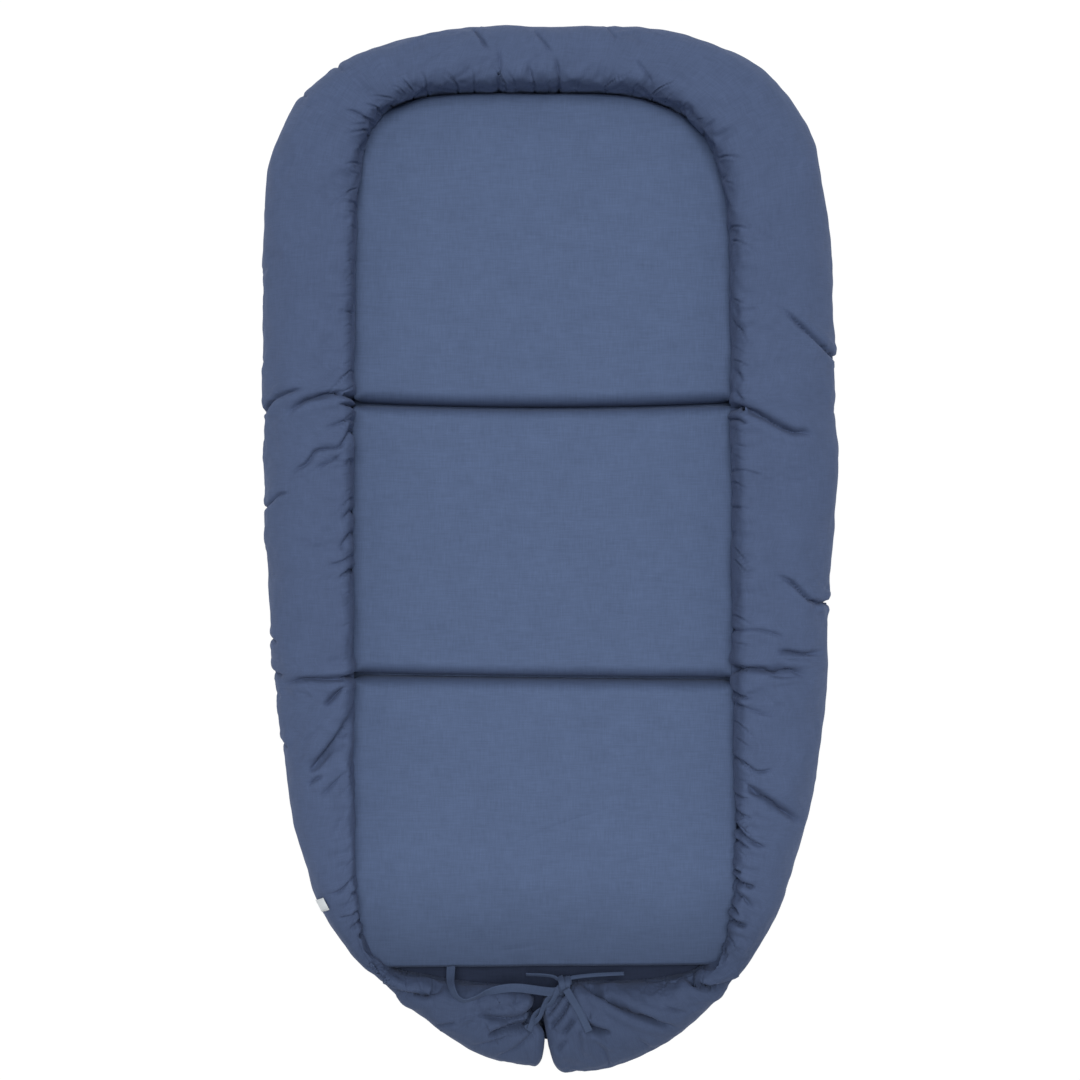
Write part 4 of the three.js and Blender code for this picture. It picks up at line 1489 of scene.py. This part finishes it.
# The roll takes the cotton darkened with painted shade.
for piece in roll.values():
    piece.data.materials.append(shade_darkened_roll_cotton)

for place, body in (("head", "head_flap"), ("middle", "middle"), ("foot", "foot_flap")):
    cover = covers[place]
    cover.data.materials.append(cotton)
    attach(cover, body)
    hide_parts(f"{place}_top_cloth", f"{place}_foam")


for part, flap, low_y, high_y, fold_y, toward, nodes in (
    ("upper", "head_flap", split_y, pad_head_y + base_reach, head_fold_y, 1,
     ("head_base_cloth", "middle_base_cloth")),
    ("lower", "foot_flap", pad_foot_y - base_reach, split_y, foot_fold_y, -1,
     ("foot_base_cloth",)),
):
    base, area = add_base(f"{part}_base_sheet", low_y, high_y)
    base.data.materials.append(cotton)
    blend_over(base)
    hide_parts(*nodes)

tongue = add_tongue()
# Its dark colour is painted shade.
tongue.data.materials.append(shade_darkened_cotton)
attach(tongue, "foot_flap")

tails = [roll["left_tail_skin"], roll["right_tail_skin"]]
tie_line = laid_on(tape_line(tie_route), tails)
right_line = laid_on(tape_line(right_drawstring_route), tails)
left_line = laid_on(tape_line(left_drawstring_route), tails)
left_strands = twisted_pair(left_line, strand_offset, strand_turns)
knot_lines = [tape_line(route) for route in knot_routes]
tie = add_tapes("slack_tie_tape", [tie_line], tie_width, (0, 10, 10, 20, 60, 50, 30, 20))
tapes = {
    "slack_tie": tie,
    "left_drawstring": add_tapes("left_drawstring_tape", left_strands, strand_width, (0, 40, 10)),
    "right_drawstring": add_tapes(
        "right_drawstring_tape", [right_line], drawstring_width, (0, 10, 0)),
    "left_hem_tape": add_tapes(
        "left_hem_strip", [tape_line(left_hem_route)], hem_width, (40, 50)),
    "right_hem_tape": add_tapes(
        "right_hem_strip", [tape_line(right_hem_route)], hem_width, (40, 50)),
    "tie_knot": add_tapes("tie_knot_wraps", knot_lines, knot_width, (0, 0), knot_thickness),
}
for node, piece in tapes.items():
    piece.data.materials.append(tape_cotton)
    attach(piece, "foot_flap")
    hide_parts(node)

label = add_tab()
label.data.materials.append(satin)
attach(label, "foot_flap")
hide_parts("care_tab")


# Floor and light. The sun stands a little ahead of straight above, and its softness is how wide
# it looks, in degrees.
floor_reach = 6
floor_grey = 0.88
floor_glow = 1.06
floor_glow_share = 0.88
sun_ahead = 0.17
sun_strength = 1.84
sun_softness = 28
zenith_light = 0.41
horizon_light = 0.26
horizon_fall = 0.5
white_light = (1, 1, 1, 1)


def add_floor():
    """Pale paper that is seen as white, and still takes a faint shadow."""
    points = [(x * floor_reach, y * floor_reach, 0) for x, y in
              ((-1, -1), (1, -1), (1, 1), (-1, 1))]
    floor = add_piece("floor", points, [(0, 1, 2, 3)])
    n = new_material("floor")
    glow = n.math("MULTIPLY", n.seen_directly(), floor_glow_share)
    paper = n.add("ShaderNodeBsdfDiffuse", {"Color": (floor_grey, floor_grey, floor_grey, 1)})
    white = n.add("ShaderNodeEmission", {"Color": white_light, "Strength": floor_glow})
    mixed = n.add("ShaderNodeMixShader", {0: glow, 1: paper.outputs[0], 2: white.outputs[0]})
    floor.data.materials.append(n.finish(mixed))


def add_sun():
    light = bpy.data.lights.new("key", "SUN")
    light.energy = sun_strength
    light.angle = math.radians(sun_softness)
    holder = bpy.data.objects.new("key", light)
    holder.rotation_euler = (math.atan(sun_ahead), 0, math.pi)
    holder.location = (0, 2 * sun_ahead, 2)
    bpy.context.collection.objects.link(holder)


def add_world():
    """A soft studio: brighter overhead than at the horizon, and white where it is seen directly."""
    n = Nodes(bpy.data.worlds.new("studio"))
    seen = n.seen_directly()
    way = n.add("ShaderNodeTexCoord").outputs["Generated"]
    height = n.math("ABSOLUTE", n.add("ShaderNodeSeparateXYZ", {"Vector": way}).outputs["Z"])
    rise = n.math("POWER", height, horizon_fall)
    level = n.math("ADD", n.math("MULTIPLY", rise, zenith_light - horizon_light), horizon_light)
    soft = n.add("ShaderNodeBackground", {"Color": (0.93, 0.96, 1, 1), "Strength": level})
    white = n.add("ShaderNodeBackground", {"Color": white_light, "Strength": 1})
    mixed = n.add("ShaderNodeMixShader", {0: seen, 1: soft.outputs[0], 2: white.outputs[0]})
    bpy.context.scene.world = n.finish(mixed, "ShaderNodeOutputWorld")


add_floor()
add_world()
add_sun()
bpy.context.scene.view_settings.view_transform = "Standard"
